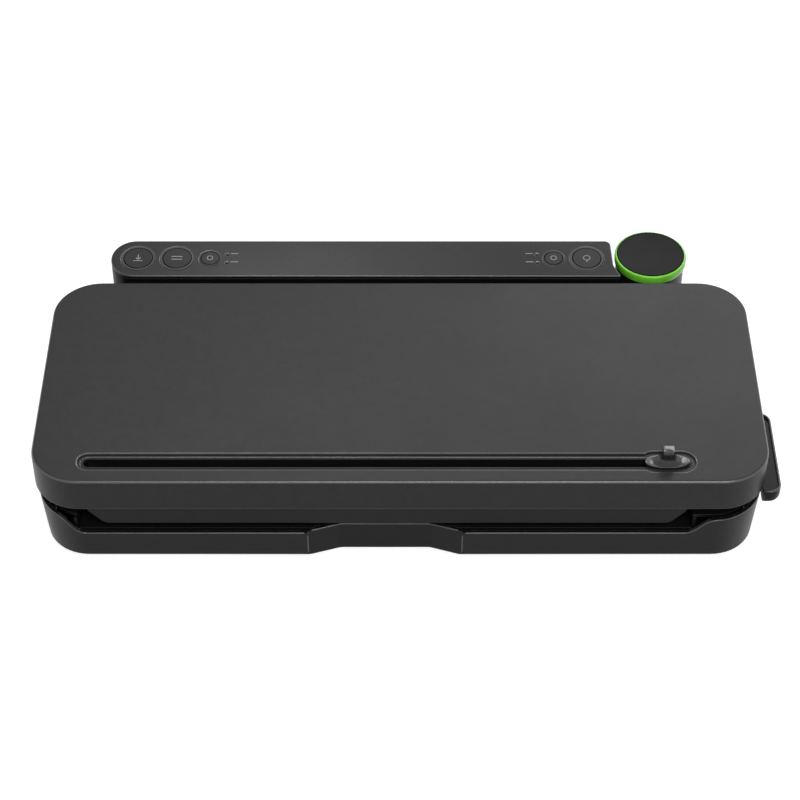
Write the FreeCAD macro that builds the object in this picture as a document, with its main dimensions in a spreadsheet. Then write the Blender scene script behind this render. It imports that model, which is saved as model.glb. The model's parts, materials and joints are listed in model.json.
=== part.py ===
"""Countertop vacuum sealer: hinged lid with a bag cutter, side latch, button bar and a docked handheld head.

Frame: +X to the user's right, +Y to the back, +Z up, millimetres. The origin is on the standing plane,
below the middle of the overall width and depth. Sizes named *_x count from the lid's own mid-plane,
which lies mid_x from the origin because the latch lever stands out on the right side only.
"""
import FreeCAD, Part
import Sketcher
import math
import os
import re

# Driving sizes: name, value or formula, meaning
SIZES = [
    ("over", 1, "how far a cut runs past the face it opens"),
    ("gap", 0.4, "clear space between pieces that pass each other"),
    ("running", 0.05, "radial clearance of a turning fit"),
    ("head_radius", 19.6, "body of the handheld head"),
    ("head_ring_stand", 1, "coloured ring beyond the head's body"),
    ("head_cap_inset", 0.8, "top disc inside the head's body"),
    ("head_lid_gap", 2.1, "coloured ring to the lid's rear face"),
    ("sleeve_gap", 0.4, "head to dock sleeve"),
    ("sleeve_wall", 1.5, "dock sleeve"),
    ("dock_wall", 2.45, "wall of the base's dock tower"),
    ("bar_gap", 3, "button bar behind the lid"),
    ("head_ring_radius", "=head_radius + head_ring_stand", "coloured ring of the head"),
    ("head_cap_radius", "=head_radius - head_cap_inset", "top disc of the head"),
    ("head_set_back", "=head_ring_radius + head_lid_gap - bar_gap", "head's axis behind the bar's front"),
    ("dock_bore", "=head_radius + sleeve_gap + sleeve_wall + running", "bore of the dock tower"),
    ("dock_radius", "=dock_bore + dock_wall", "dock tower of the base"),
    ("lid_width", 390, "lid, side to side"),
    ("lid_depth", 158.3, "lid, front to back"),
    ("lid_top_z", 63, "top face of the closed lid"),
    ("lid_skirt", 20.5, "height of the lid's outer skirt"),
    ("lid_corner", 26, "plan radius of the lid's corners"),
    ("lid_wall", 2.5, "wall of the lid moulding"),
    ("lid_edge_round", 1.6, "round along the lid's top edge"),
    ("lid_half", "=lid_width / 2", "half of the lid's width"),
    ("lid_front_y", "=-(lid_depth + bar_gap + head_set_back + dock_radius) / 2", "front face of the lid"),
    ("lid_rear_y", "=lid_front_y + lid_depth", "rear face of the lid"),
    ("lid_bottom_z", "=lid_top_z - lid_skirt", "lower edge of the skirt"),
    ("lid_under_z", "=lid_top_z - lid_wall", "underside of the lid's top wall"),
    ("skirt_relief", 3.5, "rear skirt cut back so that it swings clear of the base"),
    ("hinge_inset", 7, "hinge axis in from the lid's rear face and down from its top"),
    ("hinge_y", "=lid_rear_y - hinge_inset", "hinge axis"),
    ("hinge_z", "=lid_top_z - hinge_inset", "hinge axis"),
    ("hinge_x", 118, "hinge arms, from the mid-plane"),
    ("hinge_arm_width", 10, "hinge arm along the pin"),
    ("hinge_knuckle", 4, "radius of the hinge arm's eye"),
    ("hinge_pin", 1.8, "radius of the hinge pin"),
    ("hinge_lug", 5, "lid lug along the pin"),
    ("hinge_foot_far", 24, "front of the hinge arm's foot, ahead of the axis"),
    ("hinge_foot_near", 8, "rear of the hinge arm's foot, ahead of the axis"),
    ("foot_height", 2.5, "rubber foot below the base"),
    ("base_side_inset", 3.5, "base side at the lower edge, inside the lid's side"),
    ("base_front_inset", 3.6, "base front at the lower edge, behind the lid's front"),
    ("base_rear_inset", 2.5, "base rear at the lower edge, in front of the lid's rear"),
    ("base_corner", 24, "plan radius of the base's corners at its lower edge"),
    ("base_draft", 4.2, "outward lean of the base's walls, degrees"),
    ("base_wall", 2.5, "wall of the base moulding"),
    ("base_edge", 0.8, "bevel along the base's lower edge"),
    ("base_half_bottom", "=lid_half - base_side_inset", "half width of the base at its lower edge"),
    ("rim_gap", 0.5, "base rim below the lid's skirt"),
    ("base_rim_z", "=lid_bottom_z - rim_gap", "rim of the base under the lid's skirt"),
    ("ledge_width", 2.5, "inner ledge that carries the deck"),
    ("ledge_depth", 2.5, "height of that ledge"),
    ("bar_root", 12, "rear block of the base, into the lid's outline"),
    ("dock_root", 6, "dock's foot, into the lid's outline"),
    ("deck_drop", 2, "deck below the base's rim"),
    ("deck_wall", 2.2, "wall of the deck moulding"),
    ("deck_top_z", "=base_rim_z - deck_drop", "raised rear part of the deck"),
    ("deck_under_z", "=deck_top_z - deck_wall", "underside of the raised deck"),
    ("cover_wall", 2.2, "bottom cover"),
    ("cover_top_z", "=foot_height + cover_wall", "upper face of the bottom cover"),
    ("floor_height", 15.3, "chamber floor above the bottom cover"),
    ("chamber_floor_z", "=cover_top_z + floor_height", "floor of the vacuum chamber"),
    ("slot_left_inset", 24, "left end of the bag slot, from the lid's left side"),
    ("slot_right_inset", 40, "right end of the bag slot, from the lid's right side"),
    ("slot_ramp", 9, "run of the curve at each end of the sill"),
    ("slot_round", 9, "radius of the sill's curves"),
    ("sill_rise", 1.5, "sill of the bag slot above the chamber floor"),
    ("slot_left_x", "=slot_left_inset - lid_half", "left end of the bag slot in the front wall"),
    ("slot_right_x", "=lid_half - slot_right_inset", "right end of the bag slot in the front wall"),
    ("slot_sill_z", "=chamber_floor_z + sill_rise", "sill of the bag slot"),
    ("slot_shoulder_z", "=(slot_sill_z + base_rim_z) / 2", "shoulder half-way up the slot's end curve"),
    ("corner_depth", 27, "how far back the front cut reaches round the corners"),
    ("corner_rise", 2.5, "rim in the front corners above the slot's shoulder"),
    ("corner_rim_z", "=slot_shoulder_z + corner_rise", "rim of the base in the front corners"),
    ("corner_ramp", 12, "run of the side wall's curve behind each front corner"),
    ("scoop_x", "=(slot_left_x + slot_right_x) / 2", "middle of the finger scoop in the front wall"),
    ("scoop_flat", 48, "flat of the scoop"),
    ("scoop_ramp", 17, "run of the scoop's slanting ends"),
    ("scoop_depth", 5.5, "depth of the scoop"),
    ("scoop_round", 9, "radius of the scoop's corners"),
    ("chamber_overhang", 1, "chamber wall outside the end of the bag slot"),
    ("chamber_left_x", "=slot_left_x - chamber_overhang", "left wall of the vacuum chamber"),
    ("chamber_right_x", "=slot_right_x + chamber_overhang", "right wall of the vacuum chamber"),
    ("shelf_drop", 0.75, "front corner shelf below the slot's shoulder"),
    ("shelf_depth", 22.5, "front corner shelf, from the lid's front"),
    ("shelf_z", "=slot_shoulder_z - shelf_drop", "lower shelf of the deck in the front corners"),
    ("shelf_rear_y", "=lid_front_y + shelf_depth", "rear end of that shelf"),
    ("seal_inset", 13, "front of the sealing bar, from the lid's front"),
    ("seal_width", 7, "sealing bar, front to back"),
    ("seal_left_inset", 20, "left end of the sealing bar, from the chamber wall"),
    ("seal_right_inset", 16, "right end of the sealing bar, from the chamber wall"),
    ("seal_height", 6.2, "sealing bar above the chamber floor"),
    ("seal_round", 1, "round along the sealing bar's top"),
    ("strip_width", 3, "heating strip"),
    ("strip_thick", 0.3, "heating strip"),
    ("tape_thick", 0.25, "release tape over the heating strip"),
    ("tape_inset", 1, "release tape in from the sealing bar's edges"),
    ("seal_front_y", "=lid_front_y + seal_inset", "front of the sealing bar"),
    ("seal_left_x", "=chamber_left_x + seal_left_inset", "left end of the sealing bar"),
    ("seal_right_x", "=chamber_right_x - seal_right_inset", "right end of the sealing bar"),
    ("seal_top_z", "=chamber_floor_z + seal_height", "top of the sealing bar"),
    ("tape_top_z", "=seal_top_z + strip_thick + tape_thick", "top of the release tape"),
    ("ring_set_back", 1.5, "gasket ring behind the sealing bar"),
    ("ring_depth", 33.5, "gasket ring, front to back"),
    ("ring_overhang", 1, "gasket ring beyond the sealing bar's ends"),
    ("ring_band", 4.5, "band of the gasket ring"),
    ("ring_corner", 10, "outer corner radius of the gasket ring"),
    ("ring_height", 7, "lower gasket above the chamber floor"),
    ("ring_front_y", "=seal_front_y + seal_width + ring_set_back", "front of the gasket ring"),
    ("ring_rear_y", "=ring_front_y + ring_depth", "rear of the gasket ring"),
    ("ring_left_x", "=seal_left_x - ring_overhang", "left end of the gasket ring"),
    ("ring_right_x", "=seal_right_x + ring_overhang", "right end of the gasket ring"),
    ("ring_top_z", "=chamber_floor_z + ring_height", "top of the lower gasket"),
    ("chamber_margin", 3.5, "chamber's rear wall behind the gasket ring"),
    ("chamber_rear_y", "=ring_rear_y + chamber_margin", "rear wall of the vacuum chamber"),
    ("mate_gap", 0.4, "gap between the closed lid's seals and the base's"),
    ("tray_left_inset", 13, "left end of the drip tray's rim, from the gasket ring's end"),
    ("tray_right_inset", 20, "right end of the drip tray's rim, from the gasket ring's end"),
    ("tray_flange", 2, "drip tray rim that rests on the floor"),
    ("tray_wall", 1.4, "wall of the drip tray"),
    ("tray_clearance", 4.3, "drip tray above the bottom cover"),
    ("tray_margin", 1, "gap between the gasket ring and the tray's rim"),
    ("tray_corner", 6, "corner radius of the tray's rim"),
    ("tray_left_x", "=ring_left_x + tray_left_inset", "left end of the drip tray's rim"),
    ("tray_right_x", "=ring_right_x - tray_right_inset", "right end of the drip tray's rim"),
    ("tray_front_y", "=ring_front_y + ring_band + tray_margin", "front of the drip tray's rim"),
    ("tray_rear_y", "=ring_rear_y - ring_band - tray_margin", "rear of the drip tray's rim"),
    ("tray_bottom_z", "=cover_top_z + tray_clearance", "underside of the drip tray"),
    ("port_inset", 11.5, "vacuum port, from the gasket ring's right end"),
    ("port_radius", 4, "outer radius of the vacuum port"),
    ("port_bore", 2.2, "bore of the vacuum port"),
    ("port_rise", 3, "port above the chamber floor"),
    ("port_reach", 12, "outlet of the vacuum port"),
    ("hose_rise", 6.3, "suction hose above the bottom cover"),
    ("port_x", "=ring_right_x - port_inset", "vacuum port"),
    ("port_y", "=(tray_front_y + tray_rear_y) / 2", "vacuum port, beside the drip tray"),
    ("hose_z", "=cover_top_z + hose_rise", "suction hose inside the base"),
    ("lip_inset", 4, "front wall of the lid's inner panel, behind the lid's front"),
    ("lip_left_gap", 5, "inner panel's tub, inside the left end of the bag slot"),
    ("lip_right_gap", 2.5, "inner panel's tub, inside the right end of the bag slot"),
    ("lip_slope", 9, "run of the tub's slanting lower ends"),
    ("lip_slope_rise", 10, "rise of those ends"),
    ("lip_round", 6, "radius of the tub's lower corners"),
    ("lip_left_x", "=slot_left_x + lip_left_gap", "left end of the inner panel's tub"),
    ("lip_right_x", "=slot_right_x - lip_right_gap", "right end of the inner panel's tub"),
    ("panel_wall", 2, "wall of the inner panel"),
    ("panel_recess", 2.1, "panel floor above the lower edge of its lip"),
    ("tub_clearance", 2.5, "rear wall of the inner panel's tub, ahead of the chamber wall"),
    ("tub_rear_y", "=chamber_rear_y - tub_clearance", "rear wall of the inner panel's tub"),
    ("latch_set_back", 7.5, "axis of the latch shaft behind the chamber wall"),
    ("latch_drop", 6.5, "axis of the latch shaft below the deck's top"),
    ("latch_y", "=chamber_rear_y + latch_set_back", "axis of the latch shaft"),
    ("latch_z", "=deck_top_z - latch_drop", "axis of the latch shaft"),
    ("wing_set_back", 14.5, "front of the inner panel's rear plate, behind the latch shaft"),
    ("wing_rear_inset", 9.8, "rear of the inner panel's rear plate, from the lid's rear"),
    ("wing_side_inset", 9, "sides of the inner panel's rear plate, from the lid's sides"),
    ("wing_rise", 1, "inner panel's rear plate above the deck"),
    ("wing_corner", 20, "rear corners of the inner panel's rear plate"),
    ("wing_cut", 20, "front corners of that plate, cut off behind the latch hooks"),
    ("wing_front_y", "=latch_y + wing_set_back", "front of the inner panel's rear plate"),
    ("wing_rear_y", "=lid_rear_y - wing_rear_inset", "rear of the inner panel's rear plate"),
    ("wing_half", "=lid_half - wing_side_inset", "half width of the inner panel's rear plate"),
    ("groove_left_inset", 25.4, "left end of the cutter groove, from the lid's left side"),
    ("groove_right_inset", 39.6, "right end of the cutter groove, from the lid's right side"),
    ("groove_inset", 15, "middle of the cutter groove behind the lid's front"),
    ("groove_width", 11.6, "recess of the cutter groove"),
    ("groove_depth", 1.2, "recess of the cutter groove"),
    ("groove_bevel", 0.4, "bevel along the groove's upper edge"),
    ("groove_left_x", "=groove_left_inset - lid_half", "left end of the cutter groove"),
    ("groove_right_x", "=lid_half - groove_right_inset", "right end of the cutter groove"),
    ("groove_y", "=lid_front_y + groove_inset", "middle line of the cutter groove"),
    ("rail_width", 8.2, "body of the cutter rail"),
    ("rail_flange", 16, "flange of the cutter rail under the lid"),
    ("rail_flange_thick", 2, "flange of the cutter rail"),
    ("rail_drop", 11, "lower edge of the cutter rail below the lid's top"),
    ("rail_slot", 5.6, "slot of the cutter rail"),
    ("rail_bottom_z", "=lid_top_z - rail_drop", "lower edge of the cutter rail"),
    ("park_length", 28.9, "parking oval at the right end of the groove"),
    ("park_width", 15, "parking oval"),
    ("slider_inset", 14.9, "cutter slider at rest, from the groove's right end"),
    ("slider_x", "=groove_right_x - slider_inset", "cutter slider at rest"),
    ("slider_length", 24, "slider cap"),
    ("slider_width", 10.4, "slider cap"),
    ("slider_rise", 0.5, "slider cap above the lid"),
    ("fin_length", 6.2, "thumb fin along the groove"),
    ("fin_width", 6, "thumb fin across the groove"),
    ("fin_height", 9.5, "thumb fin above the lid"),
    ("fin_flare", 4, "hollow flare at the fin's foot"),
    ("fin_round", 0.8, "round along the fin's top"),
    ("stem_length", 8, "slider stem along the groove"),
    ("blade_thick", 0.5, "cutter blade"),
    ("blade_reach", 7, "cutter blade ahead of the stem"),
    ("blade_top", 1, "cutter blade ahead of the stem at its top"),
    ("shoe_length", 16, "shoe under the rail"),
    ("shoe_width", 7.6, "shoe under the rail"),
    ("shoe_thick", 3, "shoe under the rail"),
    ("shoe_round", 2, "corners of the shoe"),
    ("latch_shaft", 3, "radius of the latch shaft"),
    ("bush_radius", 5, "outer radius of the latch bushes"),
    ("bush_length", 8, "latch bush"),
    ("bush_blind", 2, "closed end of the left bush"),
    ("boss_radius", 8, "base boss round each bush"),
    ("boss_stand", 1, "base boss beyond the base's lower edge"),
    ("boss_end", "=base_half_bottom + boss_stand", "outer end of the bosses"),
    ("hook_left_inset", 13, "left latch hook, from the base's side"),
    ("hook_right_inset", 19.5, "right latch hook, from the base's side"),
    ("hook_left_x", "=hook_left_inset - base_half_bottom", "left latch hook"),
    ("hook_right_x", "=base_half_bottom - hook_right_inset", "right latch hook"),
    ("hook_thick", 6, "latch hook along the shaft"),
    ("hook_arm", 6, "latch hook arm, front to back"),
    ("hook_eye", 5.6, "radius of the latch hook's eye"),
    ("hook_nose_low", 16, "underside of the hook's nose above the shaft"),
    ("hook_top", 19.5, "top of the hook above the shaft"),
    ("hook_nose", 5.6, "reach of the nose in front of the shaft's axis"),
    ("hook_round", 1, "rounds and bevel of the hook"),
    ("catch_gap", 1.6, "nose to catch with the latch open"),
    ("catch_thick", 3, "lid catch, front to back"),
    ("catch_leg", 3, "leg of the lid catch"),
    ("catch_bar", 3, "crossbar of the lid catch"),
    ("catch_round", 0.8, "corners of the lid catch"),
    ("catch_rise", 4, "lower edge of the lid catch above the deck"),
    ("catch_headroom", 1.5, "catch's window above the hook"),
    ("catch_bottom_z", "=deck_top_z + catch_rise", "lower edge of the lid catch"),
    ("catch_window_top_z", "=latch_z + hook_top + catch_headroom", "top of the catch's window"),
    ("lever_gap", 0.6, "lever's inner face beyond the lid's side"),
    ("lever_thick", 7.8, "lever, inner to outer face"),
    ("lever_inset", 10, "front end of the lever, from the lid's front"),
    ("lever_tail", 8.5, "rear end of the lever behind the shaft"),
    ("lever_low", 6.3, "lower face of the lever below the shaft"),
    ("lever_taper", 6, "rise of the lower face from the lever's rear end to its front"),
    ("lever_high", 7.5, "upper rim of the lever above the shaft"),
    ("lever_corner", 6.5, "plan radius of the lever's outer corners"),
    ("lever_rim", 1.3, "rim round the lever's dished top"),
    ("lever_dish", 1.4, "depth of the dished top"),
    ("lever_underside", 4.5, "round along the lever's lower outer edge"),
    ("lever_front_y", "=lid_front_y + lever_inset", "front end of the lever"),
    ("lever_rear_y", "=latch_y + lever_tail", "rear end of the lever"),
    ("lever_bottom_z", "=latch_z - lever_low", "lower face of the lever"),
    ("lever_top_z", "=latch_z + lever_high", "upper rim of the lever"),
    ("lever_inner_x", "=lid_half + lever_gap", "lever's inner face"),
    ("lever_outer_x", "=lever_inner_x + lever_thick", "lever's outer face"),
    ("mid_x", "=(lid_half - lever_outer_x) / 2", "lid's mid-plane in the part's frame"),
    ("head_side_inset", 50.5, "axis of the handheld head, from the lid's right side"),
    ("head_x", "=lid_half - head_side_inset", "axis of the handheld head"),
    ("bar_left_inset", 29, "left end of the button bar, from the lid's left side"),
    ("bar_head_gap", 2.3, "button bar's right end to the head's ring"),
    ("bar_tail", 4.9, "flare of the bar's right end at the front"),
    ("bar_tail_round", 0.8, "tip of that flare"),
    ("bar_waist", 0.8, "start of the flare, beyond the bar's right end"),
    ("bar_waist_depth", 8.6, "start of the flare, behind the bar's front"),
    ("bar_waist_round", 8, "hollow round of the flare"),
    ("bar_rear_round", 3.5, "rear corner of the bar's right end"),
    ("bar_depth", 28.8, "button bar, front to back"),
    ("bar_rise", 2, "top of the button bar above the lid"),
    ("bar_tilt", 4, "slope of the button bar's top towards the user, degrees"),
    ("bar_wall", 2.2, "wall of the button bar"),
    ("bar_left_x", "=bar_left_inset - lid_half", "left end of the button bar"),
    ("bar_right_x", "=head_x - head_ring_radius - bar_head_gap", "right end of the button bar at the back"),
    ("bar_tail_x", "=bar_right_x + bar_tail", "right end of the button bar at the front"),
    ("bar_front_y", "=lid_rear_y + bar_gap", "front face of the button bar"),
    ("bar_rear_y", "=bar_front_y + bar_depth", "rear face of the button bar"),
    ("bar_front_z", "=lid_top_z + bar_rise", "top of the button bar at its front"),
    ("fascia_thick", 2, "top panel of the button bar"),
    ("button_line", 14.4, "buttons behind the bar's front, along the slope"),
    ("large_button", 8.2, "radius of a large button"),
    ("small_button", 5.3, "radius of a small button"),
    ("ring_width", 1.2, "bezel ring round a large button"),
    ("small_ring_width", 0.6, "bezel ring round a small button"),
    ("ring_inlay", 0.8, "depth of the bezel ring in the fascia"),
    ("button_gap", 0.3, "gap between a button and its ring"),
    ("button_rise", 0.3, "button above the fascia"),
    ("button_edge", 0.35, "bevel round a button's top"),
    ("button_flange", 1.5, "retaining flange of a button, beyond its cap"),
    ("button_travel", 1, "press of a button"),
    ("flange_thick", 1, "retaining flange of a button"),
    ("switch_height", 3, "push switch under a button"),
    ("switch_side", 6, "push switch, square"),
    ("board_thick", 1.6, "circuit boards"),
    ("button_end", 15.5, "first large button, from the bar's left end"),
    ("large_pitch", 22.3, "second large button from the first"),
    ("small_pitch", 19, "small button from the large one beside it"),
    ("lamp_pitch", 9.7, "pair of lamps from the small button beside it"),
    ("button_tail", 14.3, "right large button, from the bar's right end"),
    ("vacuum_x", "=bar_left_x + button_end", "first large button"),
    ("seal_x", "=vacuum_x + large_pitch", "second large button"),
    ("food_x", "=seal_x + small_pitch", "left small button"),
    ("left_lamp_x", "=food_x + lamp_pitch", "left pair of lamps"),
    ("handheld_button_x", "=bar_right_x - button_tail", "right large button"),
    ("port_mode_x", "=handheld_button_x - small_pitch", "right small button"),
    ("right_lamp_x", "=port_mode_x - lamp_pitch", "right pair of lamps"),
    ("lamp_spread", 6.8, "spacing of a pair of lamps"),
    ("lamp_radius", 0.9, "lamp window"),
    ("head_seat", 2.3, "lower end of the docked head above the bottom cover"),
    ("head_ring_height", 6.2, "coloured ring of the head"),
    ("head_ring_edge", 0.6, "bevels of the coloured ring"),
    ("head_cap_thick", 5, "top disc of the head"),
    ("head_nozzle", 13, "radius of the head's suction mouth"),
    ("head_nozzle_height", 9, "tapered lower end of the head"),
    ("head_seal_height", 3.5, "soft seal round the suction mouth"),
    ("head_seal_lip", 1, "soft seal beyond the suction mouth"),
    ("head_wall", 2, "wall of the head's body"),
    ("dock_height", 25.5, "dock tower above the base's lower edge"),
    ("head_y", "=bar_front_y + head_set_back", "axis of the handheld head"),
    ("head_bottom_z", "=cover_top_z + head_seat", "lower end of the docked head"),
    ("head_top_z", "=bar_front_z", "top of the docked head"),
    ("dock_top_z", "=foot_height + dock_height", "top of the dock tower"),
    ("foot_radius", 8, "rubber foot"),
    ("foot_seat", 1.2, "foot let into the bottom cover"),
    ("foot_edge", 0.8, "bevel round the foot"),
    ("foot_side_inset", 27, "front feet, from the lid's sides"),
    ("foot_front_inset", 24.5, "front feet, from the lid's front"),
    ("foot_bar_inset", 20, "left rear foot, from the bar's left end"),
    ("screw_head", 3, "radius of the bottom screws' heads"),
    ("screw_radius", 1.5, "radius of the bottom screws"),
    ("screw_head_height", 1.6, "head of a bottom screw"),
    ("screw_length", 12, "shank of a bottom screw"),
    ("screw_side_inset", 19.5, "rear screws, from the base's sides"),
    ("screw_rear_inset", 15.8, "rear screws, from the lid's rear"),
    ("screw_front_inset", 36.5, "front screws, from the lid's front"),
    ("screw_chamber_inset", 7, "front screws, from the chamber's end walls"),
    ("post_radius", 4, "screw posts under the deck"),
    ("vent_count", 9, "vent slots in the bottom cover"),
    ("vent_pitch", 7, "spacing of the vent slots"),
    ("vent_width", 2.6, "vent slot"),
    ("vent_length", 26, "vent slot"),
    ("inlet_bar_inset", 66, "power inlet, from the bar's left end"),
    ("inlet_rise", 17.5, "power inlet above the base's lower edge"),
    ("inlet_width", 19, "power inlet"),
    ("inlet_height", 11, "power inlet"),
    ("inlet_depth", 14, "power inlet body"),
    ("inlet_flange", 1.6, "flange of the power inlet"),
    ("inlet_round", 3, "corners of the inlet's mouth"),
    ("inlet_pin_pitch", 7.6, "spacing of the inlet's pins"),
    ("inlet_pin", 0.8, "radius of the inlet's pins"),
    ("inlet_x", "=bar_left_x + inlet_bar_inset", "power inlet in the rear wall"),
    ("inlet_z", "=foot_height + inlet_rise", "power inlet"),
    ("pump_x", -20, "vacuum pump head"),
    ("pump_set_back", 40.5, "pump behind the latch shaft"),
    ("pump_side", 36, "pump head along X"),
    ("pump_depth", 44, "pump head, front to back"),
    ("pump_clearance", 1.5, "pump head to the deck and to the bottom cover"),
    ("pump_round", 3, "corners of the pump head"),
    ("motor_inset", 2, "pump motor inside the pump head's height"),
    ("motor_length", 48, "pump motor"),
    ("motor_boss", 4, "rear bearing boss of the motor"),
    ("motor_boss_radius", 4.3, "rear bearing boss of the motor"),
    ("bracket_wall", 2, "pump bracket beside the motor"),
    ("nipple_length", 8, "suction nipple of the pump"),
    ("nipple_inset", 8, "suction nipple, from the pump head's front"),
    ("hose_bend", 16, "bend of the suction hose"),
    ("pump_y", "=latch_y + pump_set_back", "vacuum pump"),
    ("pump_z", "=(cover_top_z + deck_under_z) / 2", "axis of the pump motor"),
    ("pump_height", "=deck_under_z - cover_top_z - 2 * pump_clearance", "pump head"),
    ("motor_radius", "=pump_height / 2 - motor_inset", "pump motor"),
    ("nipple_y", "=pump_y - pump_depth / 2 + nipple_inset", "suction nipple of the pump"),
    ("board_side_inset", 35.5, "power board, from the base's right side"),
    ("board_rear_inset", 53.8, "front edge of the power board, from the lid's rear"),
    ("board_width", 58, "power board"),
    ("board_depth", 42, "power board"),
    ("stand_height", 4.3, "standoffs under the power board"),
    ("stand_inset", 4, "standoffs in from the board's edges"),
    ("stand_radius", 2.5, "standoffs under the board"),
    ("capacitor_radius", 8, "main capacitor"),
    ("capacitor_height", 18, "main capacitor"),
    ("board_x", "=base_half_bottom - board_side_inset - board_width", "left edge of the power board"),
    ("board_y", "=lid_rear_y - board_rear_inset", "front edge of the power board"),
    ("board_z", "=cover_top_z + stand_height", "lower face of the power board"),
    ("core_width", 46, "laminated core"),
    ("core_depth", 20, "laminated core"),
    ("core_clearance", 3.1, "core below the deck"),
    ("core_wall", 6, "core above and below the winding"),
    ("core_board_gap", 13, "core to the power board"),
    ("coil_rear_inset", 29.8, "sealing transformer, from the lid's rear"),
    ("coil_width", 30, "winding along X"),
    ("coil_depth", 36, "winding, front to back"),
    ("coil_round", 5, "corners of the winding"),
    ("coil_x", "=board_x - core_board_gap - core_width / 2", "sealing transformer"),
    ("coil_y", "=lid_rear_y - coil_rear_inset", "sealing transformer"),
    ("core_height", "=deck_under_z - cover_top_z - core_clearance", "laminated core"),
    ("switch_side_inset", 51.5, "lid switch, from the base's left side"),
    ("switch_length", 20, "lid switch"),
    ("switch_drop", 10, "lid switch below the deck"),
    ("switch_x", "=switch_side_inset - base_half_bottom", "lid switch"),
]
ALIASES = {name for name, _, _ in SIZES}

doc = FreeCAD.newDocument("vacuum_sealer")
sheet = doc.addObject("Spreadsheet::Sheet", "sizes")
for row, (name, amount, meaning) in enumerate(SIZES, start=1):
    sheet.set(f"A{row}", meaning)
    sheet.set(f"B{row}", str(amount))
    sheet.setAlias(f"B{row}", name)
doc.recompute()

# Rubber feet: two under the front corners, one under the bar, one under the dock
FEET = [
    ("foot_side_inset - lid_half", "lid_front_y + foot_front_inset"),
    ("lid_half - foot_side_inset", "lid_front_y + foot_front_inset"),
    ("bar_left_x + foot_bar_inset", "(bar_front_y + bar_rear_y) / 2"),
    ("head_x", "head_y"),
]
# Bottom screws: x, y and the underside of the deck that their posts reach
SCREWS = [
    ("chamber_left_x + screw_chamber_inset", "lid_front_y + screw_front_inset",
     "chamber_floor_z - deck_wall / 2"),
    ("chamber_right_x - screw_chamber_inset", "lid_front_y + screw_front_inset",
     "chamber_floor_z - deck_wall / 2"),
    ("screw_side_inset - base_half_bottom", "lid_rear_y - screw_rear_inset", "deck_top_z - deck_wall / 2"),
    ("base_half_bottom - screw_side_inset", "lid_rear_y - screw_rear_inset", "deck_top_z - deck_wall / 2"),
    ("screw_side_inset - base_half_bottom", "wing_front_y", "deck_top_z - deck_wall / 2"),
    ("base_half_bottom - screw_side_inset", "wing_front_y", "deck_top_z - deck_wall / 2"),
]
NODES = []
LAY_ALONG = {
    "X": FreeCAD.Rotation(FreeCAD.Vector(0, 1, 0), 90),
    "Y": FreeCAD.Rotation(FreeCAD.Vector(1, 0, 0), -90),
    "Z": FreeCAD.Rotation(),
}
TOLERANCE = 0.01


def link(text):
    """The same formula with every size name pointing at its cell."""
    return re.sub(r"[a-z_]+", lambda word: f"sizes.{word[0]}" if word[0] in ALIASES else word[0], str(text))


def value(text):
    """What a formula of size names comes to."""
    return float(sheet.evalExpression(link(text)))


def bind(thing, **formulas):
    """Tie properties of a thing to formulas; a double underscore stands for a dot."""
    for name, text in formulas.items():
        thing.setExpression(name.replace("__", "."), link(text))


def node(thing, label):
    """Name a finished piece; its label is also its file's name."""
    thing.Label = label
    NODES.append(thing)
    return thing


def block(name, low, high):
    """A box between two corners, x counted from the lid's mid-plane."""
    box = doc.addObject("Part::Box", name)
    bind(box, Length=f"({high[0]}) - ({low[0]})", Width=f"({high[1]}) - ({low[1]})")
    bind(box, Height=f"({high[2]}) - ({low[2]})", Placement__Base__x=f"mid_x + ({low[0]})")
    bind(box, Placement__Base__y=low[1], Placement__Base__z=low[2])
    return box


def rod(name, radius, start, length, along="Z"):
    """A cylinder from a start point along one axis, x counted from the lid's mid-plane."""
    cylinder = doc.addObject("Part::Cylinder", name)
    cylinder.Placement = FreeCAD.Placement(FreeCAD.Vector(), LAY_ALONG[along])
    bind(cylinder, Radius=radius, Height=length, Placement__Base__x=f"mid_x + ({start[0]})")
    bind(cylinder, Placement__Base__y=start[1], Placement__Base__z=start[2])
    return cylinder


def joined(name, pieces):
    """One solid from pieces that meet."""
    if len(pieces) == 1:
        return pieces[0]
    fuse = doc.addObject("Part::MultiFuse", name)
    fuse.Shapes = pieces
    fuse.Refine = True
    return fuse


def less(name, base, tools):
    """A piece with the tools cut out of it."""
    cut = doc.addObject("Part::Cut", name)
    cut.Base = base
    cut.Tool = joined(f"{name}_tools", tools)
    cut.Refine = True
    return cut


def group(label, pieces):
    """Separate solids that share one node."""
    compound = doc.addObject("Part::Compound", f"{label}_group")
    compound.Links = pieces
    return node(compound, label)


def set_plane(sketch, body, plane, level):
    """Lay a sketch on one of its body's own planes, moved to a level along that plane's normal."""
    support = next(item for item in body.Origin.OriginFeatures if item.Role == plane)
    sketch.AttachmentSupport = [(support, "")]
    sketch.MapMode = "FlatFace"
    if plane == "YZ_Plane":
        bind(sketch, AttachmentOffset__Base__z=f"mid_x + ({level})")
        return
    sign = "-" if plane == "XZ_Plane" else ""
    bind(sketch, AttachmentOffset__Base__x="mid_x", AttachmentOffset__Base__z=f"{sign}({level})")


def tie_point(sketch, geometry, end, corner, spot):
    """Hold one point of a sketch at two formulas."""
    for kind, text, length in (("DistanceX", corner[0], spot.x), ("DistanceY", corner[1], spot.y)):
        index = sketch.addConstraint(Sketcher.Constraint(kind, -1, 1, geometry, end, length))
        sketch.setExpression(f"Constraints[{index}]", link(text))


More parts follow.
